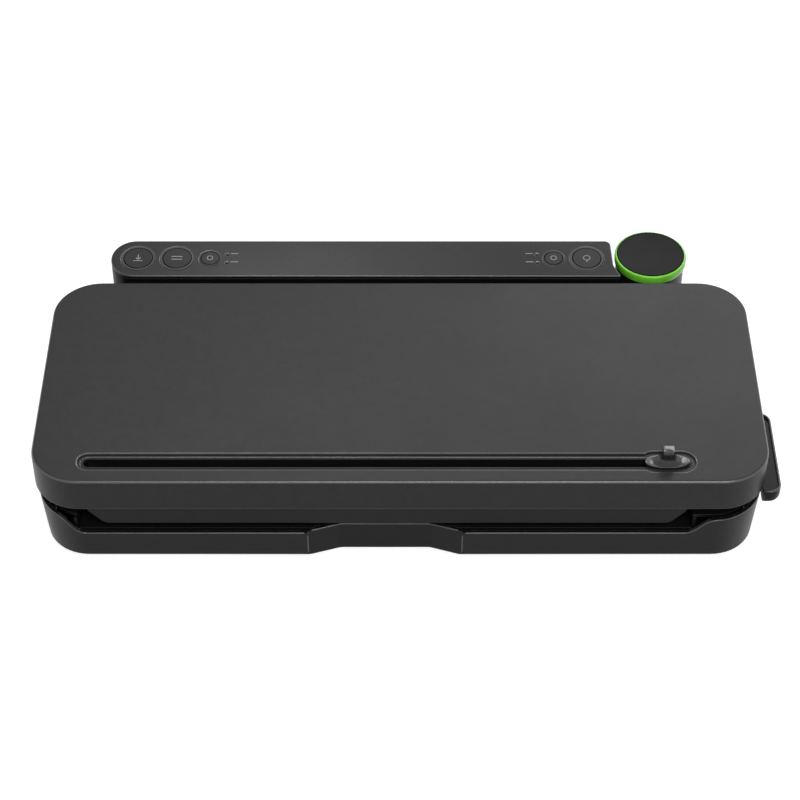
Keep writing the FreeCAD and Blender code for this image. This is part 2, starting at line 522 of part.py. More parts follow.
def corner_arc(spot, before, after, radius):
    """Tangent points and arc of a rounded corner, and whether the outline turns left there."""
    back = (before - spot).normalize()
    onward = (after - spot).normalize()
    half_turn = back.getAngle(onward) / 2
    trim = radius / math.tan(half_turn)
    centre = spot + (back + onward).normalize() * (radius / math.sin(half_turn))
    first, last = spot + back * trim, spot + onward * trim
    turns_left = back.cross(onward).z < 0
    begin, finish = (first, last) if turns_left else (last, first)
    angles = [math.atan2(point.y - centre.y, point.x - centre.x) for point in (begin, finish)]
    if angles[1] < angles[0]:
        angles[1] += 2 * math.pi
    circle = Part.Circle(centre, FreeCAD.Vector(0, 0, 1), radius)
    return first, last, Part.ArcOfCircle(circle, angles[0], angles[1]), turns_left


def outline(body, name, plane, level, corners):
    """A closed sketch; each corner is two formulas and, where it is rounded, a radius."""
    sketch = body.newObject("Sketcher::SketchObject", name)
    set_plane(sketch, body, plane, level)
    spots = [FreeCAD.Vector(value(corner[0]), value(corner[1]), 0) for corner in corners]
    count = len(spots)
    arcs = {}
    for place, corner in enumerate(corners):
        if len(corner) == 3:
            after = spots[(place + 1) % count]
            arcs[place] = corner_arc(spots[place], spots[place - 1], after, value(corner[2]))
    lines = []
    for place in range(count):
        following = (place + 1) % count
        start = arcs[place][1] if place in arcs else spots[place]
        end = arcs[following][0] if following in arcs else spots[following]
        lines.append(sketch.addGeometry(Part.LineSegment(start, end), False))
    for place, corner in enumerate(corners):
        before, after = lines[place - 1], lines[place]
        if place not in arcs:
            sketch.addConstraint(Sketcher.Constraint("Coincident", before, 2, after, 1))
            tie_point(sketch, after, 1, corner, spots[place])
            continue
        arc = sketch.addGeometry(arcs[place][2], False)
        turns_left = arcs[place][3]
        sketch.addConstraint(Sketcher.Constraint("Tangent", before, 2, arc, 1 if turns_left else 2))
        sketch.addConstraint(Sketcher.Constraint("Tangent", after, 1, arc, 2 if turns_left else 1))
        index = sketch.addConstraint(Sketcher.Constraint("Radius", arc, value(corner[2])))
        sketch.setExpression(f"Constraints[{index}]", link(corner[2]))
        point = sketch.addGeometry(Part.Point(spots[place]), True)
        tie_point(sketch, point, 1, corner, spots[place])
        sketch.addConstraint(Sketcher.Constraint("PointOnObject", point, 1, before))
        sketch.addConstraint(Sketcher.Constraint("PointOnObject", point, 1, after))
    return sketch


def rectangle(left, front, right, rear, radius):
    """Four rounded corners."""
    return [(left, front, radius), (right, front, radius), (right, rear, radius), (left, rear, radius)]


def pad(body, name, plane, corners, start, end, draft=None):
    """Add an extruded outline between two levels; a draft makes it grow along the way."""
    level = end if plane == "XZ_Plane" else start
    feature = body.newObject("PartDesign::Pad", name)
    feature.Profile = outline(body, f"{name}_outline", plane, level, corners)
    bind(feature, Length=f"({end}) - ({start})")
    if draft:
        bind(feature, TaperAngle=draft)
    return feature


def pocket(body, name, plane, corners, start, end):
    """Take away an extruded outline between two levels."""
    level = start if plane == "XZ_Plane" else end
    feature = body.newObject("PartDesign::Pocket", name)
    feature.Profile = outline(body, f"{name}_outline", plane, level, corners)
    bind(feature, Length=f"({end}) - ({start})")
    return feature


def new_body(name):
    return doc.addObject("PartDesign::Body", name)


def dress(body, kind, name, size, chosen):
    """Round or bevel the chosen edges of a body as it stands."""
    doc.recompute()
    base = body.Tip
    edges = [f"Edge{place}" for place, edge in enumerate(base.Shape.Edges, start=1) if chosen(edge)]
    feature = body.newObject(f"PartDesign::{kind}", name)
    feature.Base = (base, edges)
    bind(feature, **{"Radius" if kind == "Fillet" else "Size": size})
    return feature


def at_height(level):
    """A test for edges that lie wholly at one height."""
    height = value(level)

    def lies_there(edge):
        box = edge.BoundBox
        return abs(box.ZMin - height) < TOLERANCE and abs(box.ZMax - height) < TOLERANCE

    return lies_there


def lid_corners(inset, radius):
    """The lid's plan, drawn in by an inset."""
    side = f"lid_half - ({inset})"
    return rectangle(f"-({side})", f"lid_front_y + ({inset})", side, f"lid_rear_y - ({inset})", radius)


def groove_corners(left, right, width):
    """A long recess about the cutter's line with nearly round ends."""
    half = f"({width}) / 2"
    return rectangle(left, f"groove_y - {half}", right, f"groove_y + {half}", f"0.98 * {half}")


def hinge_middles():
    return ("-hinge_x", "hinge_x")


def hinge_notch(middle):
    """Space in the lid for one hinge arm to swing through."""
    reach = "hinge_arm_width / 2 + 2 * gap"
    low = (f"{middle} - ({reach})", "wing_front_y + 2 * hinge_knuckle", "lid_bottom_z - lid_wall")
    high = (f"{middle} + {reach}", "lid_rear_y + lid_wall", "hinge_z + hinge_knuckle / 2")
    return block("hinge_notch", low, high)


def in_groove(edge):
    """True for the upper edges of the cutter groove and its parking oval."""
    box = edge.BoundBox
    front, rear = value("groove_y - park_width"), value("groove_y + park_width")
    return at_height("lid_top_z")(edge) and box.YMin > front and box.YMax < rear


def make_lid_shell():
    body = new_body("lid_moulding")
    pad(body, "lid_block", "XY_Plane", lid_corners("0", "lid_corner"), "lid_bottom_z", "lid_top_z")
    dress(body, "Fillet", "lid_edge", "lid_edge_round", at_height("lid_top_z"))
    inner = lid_corners("lid_wall", "lid_corner - lid_wall")
    pocket(body, "lid_hollow", "XY_Plane", inner, "lid_bottom_z", "lid_under_z")
    floor = "lid_top_z - groove_depth"
    run = groove_corners("groove_left_x", "groove_right_x", "groove_width")
    pocket(body, "groove", "XY_Plane", run, floor, "lid_top_z")
    oval = groove_corners("groove_right_x - park_length", "groove_right_x", "park_width")
    pocket(body, "parking_oval", "XY_Plane", oval, floor, "lid_top_z")
    dress(body, "Chamfer", "groove_edge", "groove_bevel", in_groove)
    left = "groove_left_x + (groove_width - rail_width) / 2"
    right = "groove_right_x - (groove_width - rail_width) / 2"
    slot = groove_corners(left, right, "rail_width + 2 * running")
    pocket(body, "rail_slot", "XY_Plane", slot, "lid_under_z", floor)
    relief_low = ("-lid_width", "hinge_y - over", "lid_bottom_z - over")
    relief_high = ("lid_width", "lid_rear_y + over", "lid_bottom_z + skirt_relief")
    relief = block("skirt_relief_space", relief_low, relief_high)
    notches = [hinge_notch(middle) for middle in hinge_middles()]
    node(less("lid_shell_cut", body, [relief] + notches), "lid_shell")


def lip_z():
    """Lower edge of the inner panel's lip, on the mating plane."""
    return "ring_top_z + mate_gap"


def make_lid_inner_panel():
    """A tub that hangs into the vacuum chamber and a plate over the raised deck."""
    front = "lid_front_y + lip_inset"
    bottom = lip_z()
    shoulder = f"{bottom} + lip_slope_rise"
    profile = [
        ("lip_left_x", "lid_under_z"),
        ("lip_left_x", shoulder, "lip_round"),
        ("lip_left_x + lip_slope", bottom, "lip_round"),
        ("lip_right_x - lip_slope", bottom, "lip_round"),
        ("lip_right_x", shoulder, "lip_round"),
        ("lip_right_x", "lid_under_z"),
    ]
    body = new_body("panel_tub")
    pad(body, "tub_block", "XZ_Plane", profile, front, "tub_rear_y")
    floor = f"{bottom} + panel_recess"
    inside = [
        ("lip_left_x + panel_wall", "lid_top_z"),
        ("lip_left_x + panel_wall", f"{shoulder} + panel_wall", "lip_round"),
        ("lip_left_x + lip_slope + panel_wall", f"{floor} + panel_wall", "lip_round"),
        ("lip_right_x - lip_slope - panel_wall", f"{floor} + panel_wall", "lip_round"),
        ("lip_right_x - panel_wall", f"{shoulder} + panel_wall", "lip_round"),
        ("lip_right_x - panel_wall", "lid_top_z"),
    ]
    pocket(body, "tub_hollow", "XZ_Plane", inside, f"{front} + panel_wall", "tub_rear_y - panel_wall")
    under_low = ("lip_left_x + lip_slope", f"{front} + panel_wall", f"{bottom} - over")
    under = block("tub_underside", under_low, ("lip_right_x - lip_slope", "tub_rear_y + over", floor))
    rail_half = "rail_flange / 2 + gap"
    rail_low = ("lip_left_x - over", f"groove_y - ({rail_half})", "rail_bottom_z - shoe_thick - 3 * gap")
    rail_way = block("rail_way", rail_low, ("lip_right_x + over", f"groove_y + {rail_half}", "lid_top_z"))
    tub = less("panel_tub_cut", body, [under, rail_way])
    wing_z = "deck_top_z + wing_rise"
    wing_top = f"{wing_z} + panel_wall"
    wing_plan = [
        ("wing_cut - wing_half", "wing_front_y"),
        ("wing_half - wing_cut", "wing_front_y"),
        ("wing_half", "wing_front_y + wing_cut"),
        ("wing_half", "wing_rear_y", "wing_corner"),
        ("-wing_half", "wing_rear_y", "wing_corner"),
        ("-wing_half", "wing_front_y + wing_cut"),
    ]
    wing = solid_plan("wing_plate", wing_plan, wing_z, wing_top)
    bridge_low = ("lip_left_x", "tub_rear_y - panel_wall", wing_z)
    bridge = block("wing_bridge", bridge_low, ("lip_right_x", "wing_front_y + over", wing_top))
    notches = [hinge_notch(middle) for middle in hinge_middles()]
    node(less("inner_panel_cut", joined("inner_panel", [tub, wing, bridge]), notches), "lid_inner_panel")


def ring_solid(name, low_z, high_z):
    """A closed band of gasket about the drip tray."""
    body = new_body(name)
    sides = ("ring_left_x", "ring_front_y", "ring_right_x", "ring_rear_y")
    pad(body, f"{name}_band", "XY_Plane", rectangle(*sides, "ring_corner"), low_z, high_z)
    inner = ("ring_left_x + ring_band", "ring_front_y + ring_band")
    outer = ("ring_right_x - ring_band", "ring_rear_y - ring_band")
    corners = rectangle(*inner, *outer, "ring_corner - ring_band")
    pocket(body, f"{name}_opening", "XY_Plane", corners, low_z, high_z)
    return body


def make_lid_seals():
    floor = f"{lip_z()} + panel_recess"
    node(ring_solid("upper_band", lip_z(), floor), "upper_gasket")
    rear = "seal_front_y + seal_width"
    low = ("seal_left_x", "seal_front_y", "tape_top_z + mate_gap")
    node(block("strip_of_rubber", low, ("seal_right_x", rear, floor)), "pressure_strip")


def make_cutter_rail():
    """The slotted insert that guides the cutter under the lid's top."""
    body = new_body("rail_moulding")
    left = "groove_left_x + (groove_width - rail_width) / 2 + running"
    right = "groove_right_x - (groove_width - rail_width) / 2 - running"
    top = "lid_top_z - groove_depth"
    pad(body, "rail_block", "XY_Plane", groove_corners(left, right, "rail_width"), "rail_bottom_z", top)
    flange = groove_corners(f"{left} + lip_round", f"{right} - lip_round", "rail_flange")
    pad(body, "rail_flange_plate", "XY_Plane", flange, "lid_under_z - rail_flange_thick", "lid_under_z")
    wall = "(rail_width - rail_slot) / 2"
    slot = groove_corners(f"{left} + {wall}", f"{right} - {wall}", "rail_slot")
    pocket(body, "rail_gap", "XY_Plane", slot, "rail_bottom_z", top)
    node(body, "cutter_rail")


def catch_rear_y():
    return "latch_y - hook_nose - catch_gap"


def make_lid_catches():
    """Two hanging frames whose crossbars the latch hooks hold."""
    catches = []
    for middle in ("hook_left_x", "hook_right_x"):
        body = new_body("catch_frame")
        window = "hook_thick / 2 + 2 * gap"
        outer = rectangle(f"{middle} - ({window} + catch_leg)", "catch_bottom_z",
                          f"{middle} + {window} + catch_leg", "lid_under_z", "catch_round")
        pad(body, "catch_plate", "XZ_Plane", outer, f"{catch_rear_y()} - catch_thick", catch_rear_y())
        sill = "catch_bottom_z + catch_bar"
        inner = rectangle(f"{middle} - ({window})", sill, f"{middle} + {window}", "catch_window_top_z",
                          "catch_round")
        pocket(body, "catch_window", "XZ_Plane", inner, f"{catch_rear_y()} - catch_thick", catch_rear_y())
        catches.append(body)
    group("lid_catches", catches)


def make_lid_hinge_lugs():
    """Ears on the lid either side of each hinge arm."""
    lugs = []
    for middle in hinge_middles():
        for side in ("-", "+"):
            near = f"{middle} {side} (hinge_arm_width / 2 + gap)"
            far = f"{near} {side} hinge_lug"
            left, right = (far, near) if side == "-" else (near, far)
            eye = rod("lug_eye", "hinge_knuckle", (left, "hinge_y", "hinge_z"), "hinge_lug", "X")
            low = (left, "hinge_y - hinge_knuckle", "hinge_z")
            root = block("lug_root", low, (right, "hinge_y + hinge_knuckle / 2", "lid_under_z"))
            above_low = (left, "hinge_y - 2 * hinge_knuckle", "lid_under_z")
            lid_top = block("above_lug", above_low,
                            (right, "hinge_y + 2 * hinge_knuckle", "lid_top_z + over"))
            bore = rod("lug_bore", "hinge_pin + running", (left, "hinge_y", "hinge_z"), "hinge_lug", "X")
            lugs.append(less("hinge_lug_cut", joined("hinge_lug_form", [eye, root]), [bore, lid_top]))
    group("lid_hinge_lugs", lugs)


def turned(name, x, y, corners):
    """A solid turned about an upright axis; each corner is a radius, a height and maybe a round."""
    body = new_body(name)
    sketch = outline(body, f"{name}_profile", "XZ_Plane", y, corners)
    bind(sketch, AttachmentOffset__Base__x=f"mid_x + ({x})")
    feature = body.newObject("PartDesign::Revolution", f"{name}_turn")
    feature.Profile = sketch
    feature.ReferenceAxis = (sketch, ["V_Axis"])
    feature.Angle = 360
    return body


def base_corners(level, inset):
    """The base's plan at a height; its walls lean outwards from the lower edge."""
    grown = f"((({level}) - foot_height) * tan(base_draft) - ({inset}))"
    side = f"base_half_bottom + {grown}"
    front = f"lid_front_y + base_front_inset - {grown}"
    rear = f"lid_rear_y - base_rear_inset + {grown}"
    return rectangle(f"-({side})", front, side, rear, f"base_corner + {grown}")


def bar_corners(front, inset):
    """The button bar's plan: a round left end, and a right end that leaves room for the head."""
    round_end = f"0.98 * (bar_depth / 2 - ({inset}))"
    return [
        (f"bar_left_x + ({inset})", front, round_end),
        (f"bar_tail_x - ({inset})", front, "bar_tail_round"),
        (f"bar_right_x + bar_waist - ({inset})", "bar_front_y + bar_waist_depth", "bar_waist_round"),
        (f"bar_right_x - ({inset})", f"bar_rear_y - ({inset})", "bar_rear_round"),
        (f"bar_left_x + ({inset})", f"bar_rear_y - ({inset})", round_end),
    ]


def solid_plan(name, corners, start, end, draft=None):
    """A plain extrusion of a plan."""
    body = new_body(name)
    pad(body, f"{name}_pad", "XY_Plane", corners, start, end, draft)
    return body


def scoop_corners(inset, ahead):
    """The finger scoop's plan from a line ahead of it, or that of the wall behind it."""
    face = "lid_front_y + base_front_inset"
    half = f"scoop_flat / 2 + ({inset}) / 2"
    foot = f"({half}) + scoop_ramp"
    deep = f"{face} + scoop_depth + ({inset})"
    return [
        (f"scoop_x - ({foot})", ahead),
        (f"scoop_x + {foot}", ahead),
        (f"scoop_x + {foot}", f"{face} + ({inset}) / 2"),
        (f"scoop_x + {half}", deep, "scoop_round"),
        (f"scoop_x - ({half})", deep, "scoop_round"),
        (f"scoop_x - ({foot})", f"{face} + ({inset}) / 2"),
    ]


def front_cut():
    """What is taken out of the base's front for the bag slot, curving up round the corners."""
    wing = "lid_half + over"
    profile = [
        (f"-({wing})", "corner_rim_z"),
        ("slot_left_x - slot_ramp", "slot_shoulder_z", "slot_round"),
        ("slot_left_x", "slot_sill_z", "slot_round"),
        ("slot_right_x", "slot_sill_z", "slot_round"),
        ("slot_right_x + slot_ramp", "slot_shoulder_z", "slot_round"),
        (wing, "corner_rim_z"),
        (wing, "lid_top_z"),
        (f"-({wing})", "lid_top_z"),
    ]
    ahead = "lid_front_y - corner_depth"
    behind = "lid_front_y + corner_depth"
    side = [
        (ahead, "slot_sill_z - over"),
        (f"{behind} - corner_ramp", "slot_sill_z - over"),
        (behind, "base_rim_z", "slot_round"),
        (f"{behind} + corner_ramp", "base_rim_z"),
        (f"{behind} + corner_ramp", "lid_top_z"),
        (ahead, "lid_top_z"),
    ]
    front_space = new_body("front_space")
    pad(front_space, "front_space_pad", "XZ_Plane", profile, ahead, f"{behind} + corner_ramp")
    side_space = new_body("side_space")
    pad(side_space, "side_space_pad", "YZ_Plane", side, f"-({wing})", wing)
    cut = doc.addObject("Part::MultiCommon", "front_cut")
    cut.Shapes = [front_space, side_space]
    return cut


def make_base_housing():
    body = new_body("base_moulding")
    plan = base_corners("foot_height", "0")
    pad(body, "base_block", "XY_Plane", plan, "foot_height", "base_rim_z", "base_draft")
    dress(body, "Chamfer", "base_lower_edge", "base_edge", at_height("foot_height"))
    pad(body, "bar_block", "XY_Plane", bar_corners("lid_rear_y - bar_root", "0"), "foot_height", "base_rim_z")
    tower = rod("dock_tower", "dock_radius", ("head_x", "head_y", "foot_height"), "dock_top_z - foot_height")
    side_low = ("bar_right_x - dock_radius", "lid_rear_y - dock_root", "foot_height")
    side = block("dock_bridge", side_low, ("head_x", "bar_rear_y", "dock_top_z"))
    front_low = ("head_x - dock_radius / 2", "lid_rear_y - dock_root", "foot_height")
    front = block("dock_root", front_low, ("head_x + dock_radius", "head_y", "dock_top_z"))
    ledge_z = "deck_under_z - ledge_depth"
    lower_plan = base_corners("foot_height", "base_wall")
    lower = solid_plan("lower_core", lower_plan, "foot_height", ledge_z, "base_draft")
    narrow = base_corners(f"{ledge_z} - over", "base_wall + ledge_width")
    middle = solid_plan("ledge_core", narrow, f"{ledge_z} - over", "base_rim_z", "base_draft")
    upper_plan = base_corners("deck_under_z", "base_wall")
    upper = solid_plan("upper_core", upper_plan, "deck_under_z", "base_rim_z + over", "base_draft")
    rear_plan = bar_corners("bar_front_y + bar_wall", "bar_wall")
    rear = solid_plan("rear_core", rear_plan, "cover_top_z", "base_rim_z + over")
    bore = rod("dock_space", "dock_bore", ("head_x", "head_y", "cover_top_z"), "dock_top_z")
    outer = joined("base_outer", [body, tower, side, front])
    hollow = less("base_hollowed", outer, [lower, middle, upper, rear, bore])
    face = "lid_front_y + base_front_inset"
    wall_plan = scoop_corners("base_wall", f"{face} + over")
    scoop_wall = solid_plan("scoop_wall", wall_plan, "foot_height", "slot_sill_z")
    right_spot = ("boss_end - bush_length", "latch_y", "latch_z")
    right_boss = rod("right_boss", "boss_radius", right_spot, "bush_length", "X")
    left_boss = rod("left_boss", "boss_radius", ("-boss_end", "latch_y", "latch_z"), "bush_length", "X")
    bushed = joined("base_bossed", [hollow, scoop_wall, right_boss, left_boss])
    space_plan = scoop_corners("0", f"{face} - scoop_depth")
    scoop = solid_plan("scoop_space", space_plan, "foot_height - over", "slot_sill_z + over")
    right_hole = rod("right_hole", "bush_radius", right_spot, "2 * bush_length", "X")
    left_hole = rod("left_hole", "bush_radius",
                    ("bush_blind - boss_end", "latch_y", "latch_z"), "bush_length", "X")
    inlet_low = ("inlet_x - inlet_width / 2", "bar_rear_y - 2 * bar_wall", "inlet_z - inlet_height / 2")
    inlet_high = ("inlet_x + inlet_width / 2", "bar_rear_y + over", "inlet_z + inlet_height / 2")
    inlet = block("inlet_hole", inlet_low, inlet_high)
    seats = [foot_seat(x, y) for x, y in FEET[2:]]
    tools = [front_cut(), scoop, right_hole, left_hole, inlet] + seats
    node(less("base_housing_cut", bushed, tools), "base_housing")


def foot_seat(x, y):
    return rod("foot_seat_space", "foot_radius + running", (x, y, "foot_height"), "foot_seat")


def make_bottom_cover():
    """A flat cover with vent slots under the pump, seats for the front feet and screw recesses."""
    plan = base_corners("foot_height", "base_wall + gap / 2")
    plate = solid_plan("cover_plate", plan, "foot_height", "cover_top_z")
    first_x = "pump_x - vent_pitch * (vent_count - 1) / 2"
    slot = rectangle(f"{first_x} - vent_width / 2", "pump_y - vent_length / 2", f"{first_x} + vent_width / 2",
                     "pump_y + vent_length / 2", "0.45 * vent_width")
    vent = pocket(plate, "vent", "XY_Plane", slot, "foot_height", "cover_top_z")
    row = plate.newObject("PartDesign::LinearPattern", "vent_row")
    row.Originals = [vent]
    row.Direction = (vent.Profile[0], ["H_Axis"])
    bind(row, Length="vent_pitch * (vent_count - 1)", Occurrences="vent_count")
    plate.Tip = row
    tools = [foot_seat(x, y) for x, y in FEET[:2]]
    scoop_plan = scoop_corners("base_wall + gap", "lid_front_y")
    tools.append(solid_plan("cover_scoop", scoop_plan, "foot_height - over", "cover_top_z + over"))
    for x, y, _ in SCREWS:
        tools.append(rod("screw_recess", "screw_head + gap", (x, y, "foot_height"), "screw_head_height"))
        tools.append(rod("screw_way", "screw_radius + gap / 2", (x, y, "foot_height"), "cover_wall"))
    node(less("bottom_cover_cut", plate, tools), "bottom_cover")


def make_feet_and_screws():
    feet = []
    for x, y in FEET:
        top = "foot_height + foot_seat"
        profile = [("0", "0"), ("foot_radius - foot_edge", "0"), ("foot_radius", "foot_edge"),
                   ("foot_radius", top), ("0", top)]
        feet.append(turned("foot", x, y, profile))
    group("rubber_feet", feet)
    screws = []
    for x, y, _ in SCREWS:
        head_z = "foot_height + gap / 2"
        neck_z = "foot_height + screw_head_height"
        profile = [("0", head_z), ("screw_head", head_z), ("screw_head", neck_z), ("screw_radius", neck_z),
                   ("screw_radius", f"{neck_z} + screw_length"), ("0", f"{neck_z} + screw_length")]
        screws.append(turned("bottom_screw", x, y, profile))
    group("bottom_screws", screws)


def make_deck_plate():
    """Raised rear deck, vacuum chamber pan, front shelves, the screw posts below and the bag guides."""
    plan = base_corners("deck_under_z", "base_wall + gap / 2")
    plate = solid_plan("deck_sheet", plan, "deck_under_z", "deck_top_z")
    open_low = ("chamber_left_x", "lid_front_y", "chamber_floor_z")
    chamber = block("chamber_space", open_low, ("chamber_right_x", "chamber_rear_y", "lid_top_z"))
    ahead_low = ("-lid_width", "lid_front_y - over", "shelf_z")
    ahead = block("front_space_over_deck", ahead_low, ("lid_width", "shelf_rear_y", "lid_top_z"))
    front = "lid_front_y + base_front_inset + base_wall + gap"
    pan_low = ("chamber_left_x", front, "chamber_floor_z - deck_wall")
    pan_high = ("chamber_right_x", "chamber_rear_y + deck_wall", "deck_top_z")
    pan = block("chamber_pan", pan_low, pan_high)
    apron_low = ("chamber_left_x", front, "chamber_floor_z - deck_wall")
    apron_high = ("chamber_right_x", f"{front} + deck_wall", "slot_sill_z - gap")
    apron = block("chamber_apron", apron_low, apron_high)
    corner_plan = base_corners("shelf_z", "base_wall + ledge_width + gap")
    shelf = solid_plan("corner_shelf", corner_plan, "shelf_z - deck_wall", "deck_top_z")
    shelf_trim_low = ("-lid_width", "shelf_rear_y + deck_wall", "shelf_z - 2 * deck_wall")
    shelf_trim = block("shelf_trim", shelf_trim_low, ("lid_width", "lid_rear_y + over", "lid_top_z"))
    shelves = less("shelf_part", shelf, [shelf_trim])
    posts = []
    ways = []
    for x, y, top in SCREWS:
        posts.append(rod("screw_post", "post_radius", (x, y, "cover_top_z"), f"{top} - cover_top_z"))
        ways.append(rod("post_way", "screw_radius + running", (x, y, "cover_top_z"), "screw_length"))
    form = joined("deck_form", [plate, pan, shelves] + posts)
    tray_low = ("tray_left_x + tray_flange", "tray_front_y + tray_flange", "cover_top_z")
    tray_high = ("tray_right_x - tray_flange", "tray_rear_y - tray_flange", "lid_top_z")
    tray_way = block("tray_way", tray_low, tray_high)
    port_way = rod("port_way", "port_radius + running", ("port_x", "port_y", "cover_top_z"), "lid_top_z")
    hook_ways = []
    for middle in ("hook_left_x", "hook_right_x"):
        low = (f"{middle} - hook_thick / 2 - 2 * gap", "latch_y - 2 * hook_arm", "deck_under_z - over")
        high = (f"{middle} + hook_thick / 2 + 2 * gap", "latch_y + hook_arm", "deck_top_z + over")
        hook_ways.append(block("hook_way", low, high))
    boss_ways = []
    for start in ("boss_end - bush_length - gap", "-boss_end - gap"):
        spot = (start, "latch_y", "latch_z")
        boss_ways.append(rod("boss_way", "boss_radius + gap", spot, "bush_length + 2 * gap", "X"))
    way_plan = scoop_corners("base_wall + 2 * gap", "lid_front_y")
    scoop_way = solid_plan("scoop_way", way_plan, "cover_top_z", "slot_sill_z + gap")
    cut = less("deck_cut", form, [chamber, ahead, tray_way, port_way] + hook_ways + boss_ways + ways)
    node(less("deck_plate_cut", joined("deck_aproned", [cut, apron]), [scoop_way]), "deck_plate")
    make_bag_guides(front)


def make_bag_guides(front):
    """Upright plates that close the chamber's two ends and keep the bag between them."""
    bottom = "chamber_floor_z - deck_wall"
    rear = "chamber_rear_y + deck_wall"
    low_top = "shelf_z - deck_wall - gap / 2"
    step = "shelf_rear_y + deck_wall + gap / 2"
    high_top = "deck_under_z - gap / 2"
    profile = [(front, bottom), (rear, bottom), (rear, high_top), (step, high_top),
               (step, low_top), (front, low_top)]
    spans = [
        ("chamber_left_x - deck_wall", "chamber_left_x - gap / 2"),
        ("chamber_right_x + gap / 2", "chamber_right_x + deck_wall"),
    ]
    guides = []
    for left, right in spans:
        body = new_body("guide_plate")
        pad(body, "guide_pad", "YZ_Plane", profile, left, right)
        guides.append(body)
    group("bag_guides", guides)


def make_seal_and_tray():
    rear = "seal_front_y + seal_width"
    body = new_body("seal_bar_moulding")
    profile = [("seal_front_y", "chamber_floor_z"), (rear, "chamber_floor_z"),
               (rear, "seal_top_z", "seal_round"),
               ("seal_front_y", "seal_top_z", "seal_round")]
    pad(body, "seal_bar_pad", "YZ_Plane", profile, "seal_left_x", "seal_right_x")
    node(body, "seal_bar")
    middle = "(seal_front_y + seal_width / 2)"
    strip_low = ("seal_left_x + strip_width", f"{middle} - strip_width / 2", "seal_top_z")
    strip_high = ("seal_right_x - strip_width", f"{middle} + strip_width / 2", "seal_top_z + strip_thick")
    node(block("heater_wire", strip_low, strip_high), "heating_strip")
    tape_low = ("seal_left_x", "seal_front_y + tape_inset", "seal_top_z + strip_thick")
    node(block("tape_sheet", tape_low, ("seal_right_x", f"{rear} - tape_inset", "tape_top_z")),
         "release_tape")
    node(ring_solid("lower_band", "chamber_floor_z", "ring_top_z"), "lower_gasket")
    tray = new_body("tray_moulding")
    rim = rectangle("tray_left_x", "tray_front_y", "tray_right_x", "tray_rear_y", "tray_corner")
    pad(tray, "tray_rim", "XY_Plane", rim, "chamber_floor_z", "chamber_floor_z + tray_wall")
    inset = "tray_flange + gap"
    pan = rectangle(f"tray_left_x + {inset}", f"tray_front_y + {inset}", f"tray_right_x - ({inset})",
                    f"tray_rear_y - ({inset})", "tray_corner - tray_flange")
    pad(tray, "tray_pan", "XY_Plane", pan, "tray_bottom_z", "chamber_floor_z")
    wall = f"{inset} + tray_wall"
    inner = rectangle(f"tray_left_x + {wall}", f"tray_front_y + {wall}", f"tray_right_x - ({wall})",
                      f"tray_rear_y - ({wall})", "tray_corner - tray_flange - tray_wall")
    pocket(tray, "tray_inside", "XY_Plane", inner, "tray_bottom_z + tray_wall", "chamber_floor_z + tray_wall")
    node(tray, "drip_tray")
    tube_height = "chamber_floor_z + port_rise - hose_z"
    tube = rod("port_tube", "port_radius", ("port_x", "port_y", "hose_z"), tube_height)
    elbow = rod("port_elbow", "port_radius", ("port_x", "port_y", "hose_z"), "port_reach", "Y")
    knee = doc.addObject("Part::Sphere", "port_knee")
    bind(knee, Radius="port_radius", Placement__Base__x="mid_x + port_x", Placement__Base__y="port_y")
    bind(knee, Placement__Base__z="hose_z")
    bore = rod("port_bore_way", "port_bore", ("port_x", "port_y", "hose_z"), "lid_top_z")
    elbow_bore = rod("elbow_bore", "port_bore", ("port_x", "port_y", "hose_z"), "port_reach", "Y")
    node(less("port_cut", joined("port_form", [tube, elbow, knee]), [bore, elbow_bore]), "vacuum_port")


